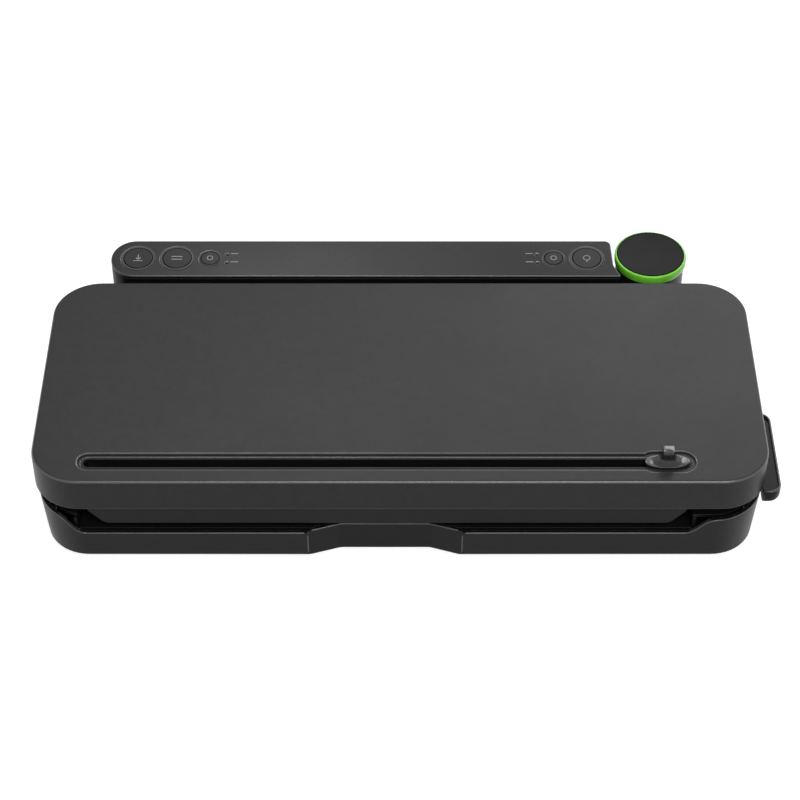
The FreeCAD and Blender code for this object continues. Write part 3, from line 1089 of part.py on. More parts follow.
def make_inner_works():
    """Pump, hose, transformer and power board under the raised deck."""
    floor = "cover_top_z"
    motor_x = "pump_x - pump_side / 2 - motor_length"
    motor = rod("motor_can", "motor_radius", (motor_x, "pump_y", "pump_z"), "motor_length", "X")
    end_x = f"{motor_x} - motor_boss"
    boss = rod("motor_end", "motor_boss_radius", (end_x, "pump_y", "pump_z"), "motor_boss", "X")
    node(joined("motor_form", [motor, boss]), "pump_motor")
    head = new_body("pump_moulding")
    low_z = "pump_z - pump_height / 2"
    plan = rectangle("pump_x - pump_side / 2", "pump_y - pump_depth / 2", "pump_x + pump_side / 2",
                     "pump_y + pump_depth / 2", "pump_round")
    pad(head, "pump_block", "XY_Plane", plan, low_z, "pump_z + pump_height / 2")
    nipple_spot = ("pump_x + pump_side / 2", "nipple_y", "hose_z")
    nipple = rod("pump_nipple", "port_radius", nipple_spot, "nipple_length", "X")
    nipple_bore = rod("nipple_bore", "port_bore", ("pump_x", "nipple_y", "hose_z"), "pump_side", "X")
    node(less("pump_cut", joined("pump_form", [head, nipple]), [nipple_bore]), "pump_head")
    saddle_low = (motor_x, "pump_y - motor_radius - bracket_wall", floor)
    saddle_high = ("pump_x - pump_side / 2 - gap", "pump_y + motor_radius + bracket_wall", "pump_z")
    saddle = block("saddle", saddle_low, saddle_high)
    cradle_spot = (f"{motor_x} - over", "pump_y", "pump_z")
    cradle = rod("cradle", "motor_radius", cradle_spot, "motor_length + 2 * over", "X")
    node(less("bracket_cut", saddle, [cradle]), "pump_bracket")
    core_high = ("coil_x + core_width / 2", "coil_y + core_depth / 2", f"{floor} + core_height")
    core = block("core_stack", ("coil_x - core_width / 2", "coil_y - core_depth / 2", floor), core_high)
    coil_plan = rectangle("coil_x - coil_width / 2", "coil_y - coil_depth / 2", "coil_x + coil_width / 2",
                          "coil_y + coil_depth / 2", "coil_round")
    coil = solid_plan("winding", coil_plan, f"{floor} + core_wall", f"{floor} + core_height - core_wall")
    node(joined("transformer_form", [core, coil]), "transformer")
    board_low = ("board_x", "board_y", "board_z")
    board_high = ("board_x + board_width", "board_y + board_depth", "board_z + board_thick")
    board = block("power_sheet", board_low, board_high)
    stands = []
    for x in ("board_x + stand_inset", "board_x + board_width - stand_inset"):
        for y in ("board_y + stand_inset", "board_y + board_depth - stand_inset"):
            stands.append(rod("board_stand", "stand_radius", (x, y, floor), f"board_z - {floor}"))
    cap_spot = ("board_x + board_width / 2", "board_y + board_depth / 2", "board_z + board_thick")
    capacitor = rod("capacitor", "capacitor_radius", cap_spot, "capacitor_height")
    node(joined("power_board_form", [board, capacitor] + stands), "power_board")
    make_suction_hose()


def make_suction_hose():
    """A soft tube from the port's outlet round one bend to the pump's nipple."""
    start = FreeCAD.Vector(value("mid_x + port_x"), value("port_y + port_reach"), value("hose_z"))
    nipple_end = value("mid_x + pump_x + pump_side / 2 + nipple_length")
    finish = FreeCAD.Vector(nipple_end, value("nipple_y"), value("hose_z"))
    bend = value("hose_bend")
    knee = FreeCAD.Vector(start.x, finish.y, start.z)
    enter = knee - FreeCAD.Vector(0, bend, 0)
    leave = knee - FreeCAD.Vector(bend, 0, 0)
    turn = bend * (1 - math.sqrt(0.5))
    middle = knee - FreeCAD.Vector(turn, turn, 0)
    path = Part.Wire([Part.LineSegment(start, enter).toShape(), Part.Arc(enter, middle, leave).toShape(),
                      Part.LineSegment(leave, finish).toShape()])
    along = FreeCAD.Vector(0, 1, 0)
    tubes = []
    for radius in (value("port_radius"), value("port_bore")):
        ring = Part.Wire([Part.Circle(start, along, radius).toShape()])
        tubes.append(path.makePipeShell([ring], True, False))
    hose = doc.addObject("Part::Feature", "hose_form")
    hose.Shape = tubes[0].cut(tubes[1])
    node(hose, "suction_hose")


def on_slope(thing, u, v, w):
    """Stand a thing on the bar's sloping top: u along X, v back along the slope, w out of it."""
    lean = FreeCAD.Rotation(FreeCAD.Vector(1, 0, 0), value("bar_tilt"))
    thing.Placement = FreeCAD.Placement(FreeCAD.Vector(), lean)
    bind(thing, Placement__Rotation__Angle="bar_tilt", Placement__Base__x=f"mid_x + ({u})")
    bind(thing, Placement__Base__y=f"bar_front_y + ({v}) * cos(bar_tilt) - ({w}) * sin(bar_tilt)")
    bind(thing, Placement__Base__z=f"bar_front_z + ({v}) * sin(bar_tilt) + ({w}) * cos(bar_tilt)")
    return thing


def slope_rod(name, radius, u, v, low, high):
    cylinder = doc.addObject("Part::Cylinder", name)
    bind(cylinder, Radius=radius, Height=f"({high}) - ({low})")
    return on_slope(cylinder, u, v, low)


def slope_block(name, low, high):
    box = doc.addObject("Part::Box", name)
    bind(box, Length=f"({high[0]}) - ({low[0]})", Width=f"({high[1]}) - ({low[1]})")
    bind(box, Height=f"({high[2]}) - ({low[2]})")
    return on_slope(box, *low)


# Each button: node name, place along the bar, cap radius, bezel width
BUTTONS = [
    ("vacuum_button", "vacuum_x", "large_button", "ring_width"),
    ("seal_button", "seal_x", "large_button", "ring_width"),
    ("food_mode_button", "food_x", "small_button", "small_ring_width"),
    ("port_mode_button", "port_mode_x", "small_button", "small_ring_width"),
    ("handheld_button", "handheld_button_x", "large_button", "ring_width"),
]
LAMPS = [(x, f"button_line {side} lamp_spread / 2") for x in ("left_lamp_x", "right_lamp_x") for side in "-+"]
BUTTON_FOOT = "-(fascia_thick + gap + flange_thick)"
SWITCH_TOP = f"{BUTTON_FOOT} - button_travel - gap"
BOARD_TOP = f"{SWITCH_TOP} - switch_height"


def make_control_bar():
    far = "bar_depth * 2"
    above_low = ("bar_left_x - bar_depth", "-bar_depth", "-fascia_thick")
    above = slope_block("above_housing", above_low, ("bar_tail_x + bar_depth", far, "2 * bar_depth"))
    ceiling = "bar_front_z + bar_depth"
    outer = solid_plan("bar_outer", bar_corners("bar_front_y", "0"), "base_rim_z", ceiling)
    inner_plan = bar_corners("bar_front_y + bar_wall", "bar_wall")
    inner = solid_plan("bar_inner", inner_plan, "base_rim_z", ceiling)
    node(less("control_housing_cut", outer, [above, inner]), "control_housing")
    plan = solid_plan("fascia_plan", bar_corners("bar_front_y", "0"), "base_rim_z", ceiling)
    slab_low = ("bar_left_x - bar_depth", "-bar_depth", "-fascia_thick")
    slab = slope_block("fascia_slab", slab_low, ("bar_tail_x + bar_depth", far, "0"))
    sheet_part = doc.addObject("Part::MultiCommon", "fascia_sheet")
    sheet_part.Shapes = [plan, slab]
    tools = []
    rings = []
    switches = []
    for label, u, radius, bezel in BUTTONS:
        edge = f"{radius} + button_gap"
        tools.append(slope_rod("button_way", edge, u, "button_line", "-fascia_thick - over", "over"))
        tools.append(slope_rod("ring_way", f"{edge} + {bezel}", u, "button_line", "-ring_inlay", "over"))
        ring = slope_rod("ring_disc", f"{edge} + {bezel}", u, "button_line", "-ring_inlay", "button_rise / 2")
        eye = slope_rod("ring_eye", edge, u, "button_line", "-fascia_thick", "over")
        rings.append(less("bezel_ring", ring, [eye]))
        half = "switch_side / 2"
        low = (f"{u} - {half}", f"button_line - {half}", BOARD_TOP)
        switches.append(slope_block("push_switch", low,
                                    (f"{u} + {half}", f"button_line + {half}", SWITCH_TOP)))
        make_button(label, u, radius)
    windows = []
    for u, v in LAMPS:
        tools.append(slope_rod("lamp_way", "lamp_radius", u, v, "-fascia_thick - over", "over"))
        windows.append(slope_rod("lamp_window", "lamp_radius", u, v, BOARD_TOP, "button_rise / 4"))
    node(less("fascia_cut", sheet_part, tools), "control_fascia")
    group("button_rings", rings)
    group("push_switches", switches)
    group("lamp_windows", windows)
    board_low = ("bar_left_x + 4 * bar_wall", "2 * bar_wall", f"{BOARD_TOP} - board_thick")
    board_high = ("bar_right_x - 2 * bar_wall", "bar_depth - 2 * bar_wall", BOARD_TOP)
    node(slope_block("control_sheet", board_low, board_high), "control_board")


def make_button(label, u, radius):
    """A turned cap with a bevelled top and a brim that keeps it under the fascia."""
    brim_top = f"{BUTTON_FOOT} + flange_thick"
    profile = [
        ("0", BUTTON_FOOT),
        (f"{radius} + button_flange", BUTTON_FOOT),
        (f"{radius} + button_flange", brim_top),
        (radius, brim_top),
        (radius, "button_rise - button_edge"),
        (f"{radius} - button_edge", "button_rise"),
        ("0", "button_rise"),
    ]
    cap = turned(f"{label}_cap", "-mid_x", "0", profile)
    node(on_slope(cap, u, "button_line", "0"), label)


def make_power_inlet():
    half_width, half_height = "inlet_width / 2", "inlet_height / 2"
    face = "bar_rear_y"
    box_low = (f"inlet_x - {half_width} + running", f"{face} - inlet_depth",
               f"inlet_z - {half_height} + running")
    box_high = (f"inlet_x + {half_width} - running", face, f"inlet_z + {half_height} - running")
    flange_low = (f"inlet_x - {half_width} - inlet_flange", face, f"inlet_z - {half_height} - inlet_flange")
    flange_high = (f"inlet_x + {half_width} + inlet_flange", f"{face} + inlet_flange",
                   f"inlet_z + {half_height} + inlet_flange")
    box = block("inlet_box", box_low, box_high)
    form = joined("inlet_form", [box, block("inlet_rim", flange_low, flange_high)])
    mouth = new_body("inlet_mouth")
    inset = "2 * inlet_flange"
    corners = rectangle(f"inlet_x - {half_width} + {inset}", f"inlet_z - {half_height} + inlet_flange",
                        f"inlet_x + {half_width} - {inset}", f"inlet_z + {half_height} - inlet_flange",
                        "inlet_round")
    back = f"{face} - inlet_depth + inlet_flange"
    pad(mouth, "inlet_mouth_pad", "XZ_Plane", corners, back, f"{face} + 3 * inlet_flange")
    shell = less("inlet_shell", form, [mouth])
    pins = []
    for side in ("-", "+"):
        start = (f"inlet_x {side} inlet_pin_pitch / 2", f"{face} - inlet_depth", "inlet_z")
        pins.append(rod("inlet_contact", "inlet_pin", start, "inlet_depth - inlet_flange", "Y"))
    node(joined("power_inlet_form", [shell] + pins), "power_inlet")


def make_hinges():
    """Arms on the deck that lean back to the lid's hinge line, and their pins."""
    arms = []
    pins = []
    for middle in hinge_middles():
        body = new_body("hinge_arm")
        left, right = f"{middle} - hinge_arm_width / 2", f"{middle} + hinge_arm_width / 2"
        web = "hinge_knuckle * 0.7"
        profile = [
            ("hinge_y - hinge_foot_far", "deck_top_z"),
            ("hinge_y - hinge_foot_near", "deck_top_z"),
            (f"hinge_y + {web}", f"hinge_z - {web}"),
            (f"hinge_y - {web}", f"hinge_z + {web}"),
        ]
        pad(body, "hinge_arm_web", "YZ_Plane", profile, left, right)
        eye = rod("hinge_eye", "hinge_knuckle", (left, "hinge_y", "hinge_z"), "hinge_arm_width", "X")
        bore = rod("hinge_bore", "hinge_pin", (left, "hinge_y", "hinge_z"), "hinge_arm_width", "X")
        arms.append(less("hinge_arm_cut", joined("hinge_arm_form", [body, eye]), [bore]))
        pin_half = "(hinge_arm_width / 2 + gap + hinge_lug)"
        pins.append(rod("hinge_pin_rod", "hinge_pin", (f"{middle} - {pin_half}", "hinge_y", "hinge_z"),
                        f"2 * {pin_half}", "X"))
    group("hinge_arms", arms)
    group("hinge_pins", pins)


def make_latch():
    """Side lever, cross shaft and two hooks that turn together."""
    bushes = []
    right_bush = ("boss_end - bush_length", "bush_length + over")
    left_bush = ("bush_blind - boss_end", "bush_length - bush_blind")
    for start, length in (right_bush, left_bush):
        outer = rod("bush_outer", "bush_radius", (start, "latch_y", "latch_z"), length, "X")
        bore = rod("bush_bore", "latch_shaft + running", (start, "latch_y", "latch_z"), length, "X")
        bushes.append(less("latch_bush", outer, [bore]))
    group("latch_bushes", bushes)
    shaft_start = "bush_blind + gap - boss_end"
    shaft_end = "lever_outer_x - 2 * lever_dish"
    shaft_length = f"{shaft_end} - ({shaft_start})"
    shaft = rod("shaft_rod", "latch_shaft", (shaft_start, "latch_y", "latch_z"), shaft_length, "X")
    tap_spot = (f"{shaft_end} - screw_length", "latch_y", "latch_z")
    tap = rod("shaft_tap", "screw_radius", tap_spot, "screw_length", "X")
    node(less("shaft_cut", shaft, [tap]), "latch_shaft")
    hooks = []
    for middle in ("hook_left_x", "hook_right_x"):
        body = new_body("hook_blade")
        profile = [
            ("latch_y + hook_arm / 2", "latch_z"),
            ("latch_y + hook_arm / 2", "latch_z + hook_top", "2 * hook_round"),
            ("latch_y - hook_nose + hook_round", "latch_z + hook_top", "hook_round"),
            ("latch_y - hook_nose", "latch_z + hook_nose_low"),
            ("latch_y - hook_arm / 2", "latch_z + hook_nose_low"),
            ("latch_y - hook_arm / 2", "latch_z"),
        ]
        pad(body, "hook_pad", "YZ_Plane", profile, f"{middle} - hook_thick / 2", f"{middle} + hook_thick / 2")
        start = (f"{middle} - hook_thick / 2", "latch_y", "latch_z")
        eye = rod("hook_eye_disc", "hook_eye", start, "hook_thick", "X")
        bore = rod("hook_bore", "latch_shaft", start, "hook_thick", "X")
        hooks.append(less("hook_cut", joined("hook_form", [body, eye]), [bore]))
    group("latch_hooks", hooks)
    make_lever(shaft_end)


def make_lever(shaft_end):
    body = new_body("lever_moulding")
    plan = [
        ("lever_inner_x", "lever_front_y"),
        ("lever_outer_x", "lever_front_y", "lever_corner"),
        ("lever_outer_x", "lever_rear_y", "lever_corner"),
        ("lever_inner_x", "lever_rear_y"),
    ]
    pad(body, "lever_block", "XY_Plane", plan, "lever_bottom_z", "lever_top_z")
    taper = [
        ("lever_front_y - over", "lever_bottom_z + lever_taper"),
        ("lever_front_y - over", "lever_bottom_z - over"),
        ("lever_rear_y + over", "lever_bottom_z - over"),
        ("lever_rear_y + over", "lever_bottom_z"),
    ]
    pocket(body, "lever_taper_cut", "YZ_Plane", taper, "lever_inner_x - over", "lever_outer_x + over")

    def lower_outer(edge):
        inner = value("mid_x + lever_inner_x")
        below = edge.BoundBox.ZMax < value("lever_bottom_z + lever_taper") + TOLERANCE
        return below and edge.BoundBox.XMax > inner + TOLERANCE

    dress(body, "Fillet", "lever_underside_round", "lever_underside", lower_outer)
    dish = [
        ("lever_inner_x - over", "lever_front_y + lever_rim"),
        ("lever_outer_x - lever_rim", "lever_front_y + lever_rim", "lever_corner - lever_rim"),
        ("lever_outer_x - lever_rim", "lever_rear_y - lever_rim", "lever_corner - lever_rim"),
        ("lever_inner_x - over", "lever_rear_y - lever_rim"),
    ]
    pocket(body, "lever_dish_pocket", "XY_Plane", dish, "lever_top_z - lever_dish", "lever_top_z")
    inner_spot = ("lever_inner_x", "latch_y", "latch_z")
    head_spot = ("lever_outer_x - screw_head_height", "latch_y", "latch_z")
    bore = rod("lever_bore", "latch_shaft", inner_spot, f"{shaft_end} - lever_inner_x", "X")
    way = rod("lever_screw_way", "screw_radius + gap / 2", inner_spot, "2 * lever_thick", "X")
    sink = rod("lever_screw_sink", "screw_head + gap", head_spot, "screw_head_height + over", "X")
    node(less("lever_cut", body, [bore, way, sink]), "latch_lever")
    head = rod("lever_screw_head", "screw_head", head_spot, "screw_head_height - gap / 2", "X")
    shank = rod("lever_screw_shank", "screw_radius", (f"{shaft_end} - screw_length", "latch_y", "latch_z"),
                f"lever_outer_x - screw_head_height - ({shaft_end}) + screw_length", "X")
    node(joined("lever_screw_form", [head, shank]), "lever_screw")


def make_cutter():
    """Sliding bag cutter: a lens-shaped cap with a thumb fin, a blade in the slot and a shoe below."""
    cap_bottom = "lid_top_z - groove_depth + gap"
    cap_top = "lid_top_z + slider_rise"
    body = new_body("slider_moulding")
    bow = "(slider_length * slider_length / slider_width + slider_width) / 4"
    lens = []
    for side in ("-", "+"):
        centre_y = f"groove_y {side} ({bow} - slider_width / 2)"
        disc = rod("lens_disc", bow, ("slider_x", centre_y, cap_bottom), f"{cap_top} - ({cap_bottom})")
        lens.append(disc)
    cap = doc.addObject("Part::MultiCommon", "slider_cap")
    cap.Shapes = lens
    stem_low = ("slider_x - stem_length / 2", "groove_y - rail_slot / 2 + gap", "rail_bottom_z - gap")
    stem = block("slider_stem", stem_low,
                 ("slider_x + stem_length / 2", "groove_y + rail_slot / 2 - gap", cap_top))
    fin_half = "fin_length / 2"
    fin_top = "lid_top_z + fin_height"
    profile = [
        (f"slider_x - {fin_half} - fin_flare", cap_top),
        (f"slider_x + {fin_half} + fin_flare", cap_top),
        (f"slider_x + {fin_half}", f"{cap_top} + fin_flare", "fin_flare"),
        (f"slider_x + {fin_half}", fin_top, "fin_round"),
        (f"slider_x - {fin_half}", fin_top, "fin_round"),
        (f"slider_x - {fin_half}", f"{cap_top} + fin_flare", "fin_flare"),
    ]
    pad(body, "fin_pad", "XZ_Plane", profile, "groove_y - fin_width / 2", "groove_y + fin_width / 2")
    node(joined("slider_form", [cap, stem, body]), "cutter_slider")
    blade = new_body("blade_steel")
    edge_x = "slider_x - stem_length / 2"
    top = "lid_top_z - groove_depth - gap"
    blade_profile = [
        (edge_x, "rail_bottom_z + gap"),
        (edge_x, top),
        (f"{edge_x} - blade_top", top),
        (f"{edge_x} - blade_reach", "rail_bottom_z + gap"),
    ]
    pad(blade, "blade_pad", "XZ_Plane", blade_profile,
        "groove_y - blade_thick / 2", "groove_y + blade_thick / 2")
    node(blade, "cutter_blade")
    shoe = new_body("shoe_moulding")
    plan = rectangle("slider_x - shoe_length / 2", "groove_y - shoe_width / 2", "slider_x + shoe_length / 2",
                     "groove_y + shoe_width / 2", "shoe_round")
    pad(shoe, "shoe_pad", "XY_Plane", plan, "rail_bottom_z - gap - shoe_thick", "rail_bottom_z - gap")
    node(shoe, "cutter_shoe")


def make_handheld():
    """The docked handheld head: body, suction seal, coloured ring and top disc."""
    neck_z = "head_bottom_z + head_seal_height"
    shoulder_z = f"{neck_z} + head_nozzle_height"
    ring_z = "head_top_z - head_ring_height"
    disc_z = "head_top_z - head_cap_thick"
    profile = [
        ("head_nozzle - head_wall", neck_z),
        ("head_nozzle", neck_z),
        ("head_radius", shoulder_z),
        ("head_radius", ring_z),
        ("head_cap_radius", ring_z),
        ("head_cap_radius", disc_z),
        ("0", disc_z),
        ("0", f"{disc_z} - head_wall"),
        ("head_radius - head_wall", f"{disc_z} - head_wall"),
        ("head_radius - head_wall", f"{shoulder_z} + head_wall"),
    ]
    node(turned("head_shell", "head_x", "head_y", profile), "handheld_body")
    seal = [
        ("head_nozzle - head_wall", "head_bottom_z"),
        ("head_nozzle", "head_bottom_z"),
        ("head_nozzle + head_seal_lip", "head_bottom_z + head_seal_lip"),
        ("head_nozzle + head_seal_lip", neck_z),
        ("head_nozzle - head_wall", neck_z),
    ]
    node(turned("head_seal", "head_x", "head_y", seal), "handheld_seal")
    ring = [
        ("head_cap_radius", ring_z),
        ("head_ring_radius - head_ring_edge", ring_z),
        ("head_ring_radius", f"{ring_z} + head_ring_edge"),
        ("head_ring_radius", "head_top_z - head_ring_edge"),
        ("head_ring_radius - head_ring_edge", "head_top_z"),
        ("head_cap_radius", "head_top_z"),
    ]
    node(turned("head_ring", "head_x", "head_y", ring), "handheld_ring")
    disc = [
        ("0", disc_z),
        ("head_cap_radius", disc_z),
        ("head_cap_radius", "head_top_z - gap"),
        ("head_cap_radius - gap", "head_top_z"),
        ("0", "head_top_z"),
    ]
    node(turned("head_disc", "head_x", "head_y", disc), "handheld_cap")
    bore = "head_radius + sleeve_gap"
    floor = "head_bottom_z - gap"
    sleeve = [
        ("0", "cover_top_z"),
        (f"{bore} + sleeve_wall", "cover_top_z"),
        (f"{bore} + sleeve_wall", "dock_top_z"),
        (bore, "dock_top_z"),
        (bore, floor),
        ("0", floor),
    ]
    node(turned("dock_cup", "head_x", "head_y", sleeve), "dock_sleeve")


def make_lid_switch():
    """A small switch under the deck, beside the latch shaft."""
    low = ("switch_x - switch_length / 2", "latch_y + 2 * hook_eye", "deck_under_z - switch_drop")
    high = ("switch_x + switch_length / 2", "latch_y + 2 * hook_eye + switch_side", "deck_under_z")
    body = block("switch_case", low, high)
    leaf_low = ("switch_x - switch_length / 2", "latch_y + 2 * hook_eye - 2 * gap",
                "deck_under_z - switch_drop / 2")
    leaf_high = ("switch_x + switch_length / 2", "latch_y + 2 * hook_eye", "deck_under_z - switch_drop / 4")
    node(joined("switch_form", [body, block("switch_leaf", leaf_low, leaf_high)]), "lid_microswitch")


def check_and_write():
    """Stop on any failed object; then write one file for each piece."""
    doc.recompute()
    for thing in doc.Objects:
        if "Invalid" in thing.State or "Error" in thing.State:
            raise RuntimeError(f"{thing.Name} ({thing.Label}) failed: {thing.State}")
    for thing in NODES:
        if thing.Shape.isNull() or not thing.Shape.isValid():
            raise RuntimeError(f"{thing.Label} has no valid shape")
    os.makedirs("parts", exist_ok=True)
    for thing in NODES:
        thing.Shape.exportStep(f"parts/{thing.Label}.step")
        print(f"{thing.Label}: {len(thing.Shape.Solids)} solids, {thing.Shape.Volume / 1000:.2f} cm3")


make_lid_shell()
make_lid_inner_panel()
make_lid_seals()
make_cutter_rail()
make_lid_catches()
make_lid_hinge_lugs()
make_base_housing()
make_bottom_cover()
make_feet_and_screws()
make_deck_plate()
make_seal_and_tray()
make_inner_works()
make_control_bar()
make_power_inlet()
make_hinges()
make_latch()
make_cutter()
make_handheld()
make_lid_switch()
check_and_write()
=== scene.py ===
# %% [markdown]
# A countertop vacuum sealer with its lid closed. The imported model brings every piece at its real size, in
# metres. This lesson gives those pieces moulded edges and finishes, adds the small things that a mould or a
# printer leaves on them, and sets up a plain studio.

# %% The frame
import json
import math

import bmesh
import bpy
from mathutils import Matrix, Vector


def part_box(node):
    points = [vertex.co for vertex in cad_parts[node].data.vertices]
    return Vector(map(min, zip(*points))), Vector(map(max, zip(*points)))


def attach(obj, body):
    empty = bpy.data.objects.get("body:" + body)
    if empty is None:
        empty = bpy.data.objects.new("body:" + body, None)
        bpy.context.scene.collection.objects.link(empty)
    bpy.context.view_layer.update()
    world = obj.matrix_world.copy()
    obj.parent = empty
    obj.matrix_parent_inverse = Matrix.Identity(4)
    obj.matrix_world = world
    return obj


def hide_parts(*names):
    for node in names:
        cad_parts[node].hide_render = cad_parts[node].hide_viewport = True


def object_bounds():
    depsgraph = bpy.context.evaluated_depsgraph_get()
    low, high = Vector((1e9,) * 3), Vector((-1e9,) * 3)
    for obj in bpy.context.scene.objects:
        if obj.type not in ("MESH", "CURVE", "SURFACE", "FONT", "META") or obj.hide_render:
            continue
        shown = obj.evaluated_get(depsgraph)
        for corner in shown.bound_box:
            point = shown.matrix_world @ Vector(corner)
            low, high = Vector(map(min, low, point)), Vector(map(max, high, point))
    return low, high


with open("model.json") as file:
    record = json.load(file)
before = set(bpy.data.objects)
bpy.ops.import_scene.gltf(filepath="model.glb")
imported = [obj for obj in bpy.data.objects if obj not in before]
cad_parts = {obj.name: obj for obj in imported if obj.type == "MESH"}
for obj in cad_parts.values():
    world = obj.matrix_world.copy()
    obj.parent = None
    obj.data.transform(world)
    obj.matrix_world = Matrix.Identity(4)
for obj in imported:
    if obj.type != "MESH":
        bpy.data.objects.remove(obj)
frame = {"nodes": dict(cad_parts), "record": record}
CAD_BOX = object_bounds()
MM = 0.001
NODES = frame["nodes"]
RECORD = frame["record"]
BODY_OF = {node: body for body, nodes in RECORD["behaviour"]["bodies"].items() for node in nodes}
SLOT_OF = {row["node"]: row["material_slot"] for row in RECORD["subparts"]}

# %% [markdown]
# Almost everything here is injection moulded plastic. Its colour is never quite even: the mould's fine
# grain breaks up the light, and handling leaves slow changes in the gloss. One helper builds that from
# three noise patterns in the piece's own coordinates, so the grain stays put when the lid moves. Foam,
# woven tape and ground steel use the same helper with another height pattern.


# %% A helper for finishes
def add(tree, kind, **settings):
    made = tree.nodes.new(kind)
    for name, amount in settings.items():
        made.inputs[name.replace("_", " ")].default_value = amount
    return made


def height_pattern(tree, pattern, grain):
    """The texture that drives the bump: fine grain, foam cells or a weave."""
    if pattern == "cells":
        made = add(tree, "ShaderNodeTexVoronoi", Scale=grain)
        return made, made.outputs["Distance"]
    if pattern == "weave":
        made = add(tree, "ShaderNodeTexChecker", Scale=grain)
        return made, made.outputs["Fac"]
    made = add(tree, "ShaderNodeTexNoise", Scale=grain, Detail=4.0, Roughness=0.6)
    return made, made.outputs["Fac"]


COAT_ROUGHNESS = 0.12
NOISE_LOW, NOISE_HIGH = 0.3, 0.7


def finish(name, colour, roughness, grain=1400.0, depth=0.00002, drift=0.12, metallic=0.0, coat=0.0,
           stretch=(1.0, 1.0, 1.0), pattern="grain", gloss_drift=0.05, shine=0.3):
    """A material: colour drifts with slow noise, gloss with slower noise, and the grain lifts the surface."""
    material = bpy.data.materials.new(name)
    material.use_nodes = True
    tree = material.node_tree
    shader = tree.nodes["Principled BSDF"]
    shader.inputs["Metallic"].default_value = metallic
    shader.inputs["Coat Weight"].default_value = coat
    shader.inputs["Specular IOR Level"].default_value = shine
    shader.inputs["Coat Roughness"].default_value = COAT_ROUGHNESS
    place = tree.nodes.new("ShaderNodeTexCoord")
    mapping = tree.nodes.new("ShaderNodeMapping")
    mapping.inputs["Scale"].default_value = stretch
    tree.links.new(place.outputs["Object"], mapping.inputs["Vector"])
    texture, height = height_pattern(tree, pattern, grain)
    mottle = add(tree, "ShaderNodeTexNoise", Scale=grain / 9, Detail=5.0, Roughness=0.65)
    cloud = add(tree, "ShaderNodeTexNoise", Scale=22.0, Detail=3.0, Roughness=0.5)
    for node in (texture, mottle, cloud):
        tree.links.new(mapping.outputs["Vector"], node.inputs["Vector"])
    ramp = tree.nodes.new("ShaderNodeValToRGB")
    ramp.color_ramp.elements[0].position = NOISE_LOW
    ramp.color_ramp.elements[1].position = NOISE_HIGH
    for element, share in zip(ramp.color_ramp.elements, (1 - drift, 1 + drift)):
        element.color = (*[min(1.0, part * share) for part in colour], 1.0)
    tree.links.new(mottle.outputs["Fac"], ramp.inputs["Fac"])
    tree.links.new(ramp.outputs["Color"], shader.inputs["Base Color"])
    gloss = tree.nodes.new("ShaderNodeMapRange")
    gloss.interpolation_type = "SMOOTHSTEP"
    gloss.inputs["From Min"].default_value = NOISE_LOW
    gloss.inputs["From Max"].default_value = NOISE_HIGH
    gloss.inputs["To Min"].default_value = roughness - gloss_drift
    gloss.inputs["To Max"].default_value = roughness + gloss_drift
    tree.links.new(cloud.outputs["Fac"], gloss.inputs["Value"])
    tree.links.new(gloss.outputs["Result"], shader.inputs["Roughness"])
    bump = tree.nodes.new("ShaderNodeBump")
    bump.inputs["Strength"].default_value = 0.6
    bump.inputs["Distance"].default_value = depth
    tree.links.new(height, bump.inputs["Height"])
    tree.links.new(bump.outputs["Normal"], shader.inputs["Normal"])
    return material


# %% [markdown]
# The record lists a material slot for every piece, so the finishes carry the slots' names. The lid is a
# lighter satin charcoal than the base, the button bar lies between them, and only the ring of the handheld
# head has a strong colour. Metal and rubber parts show when the lid is open or the sealer is turned over.

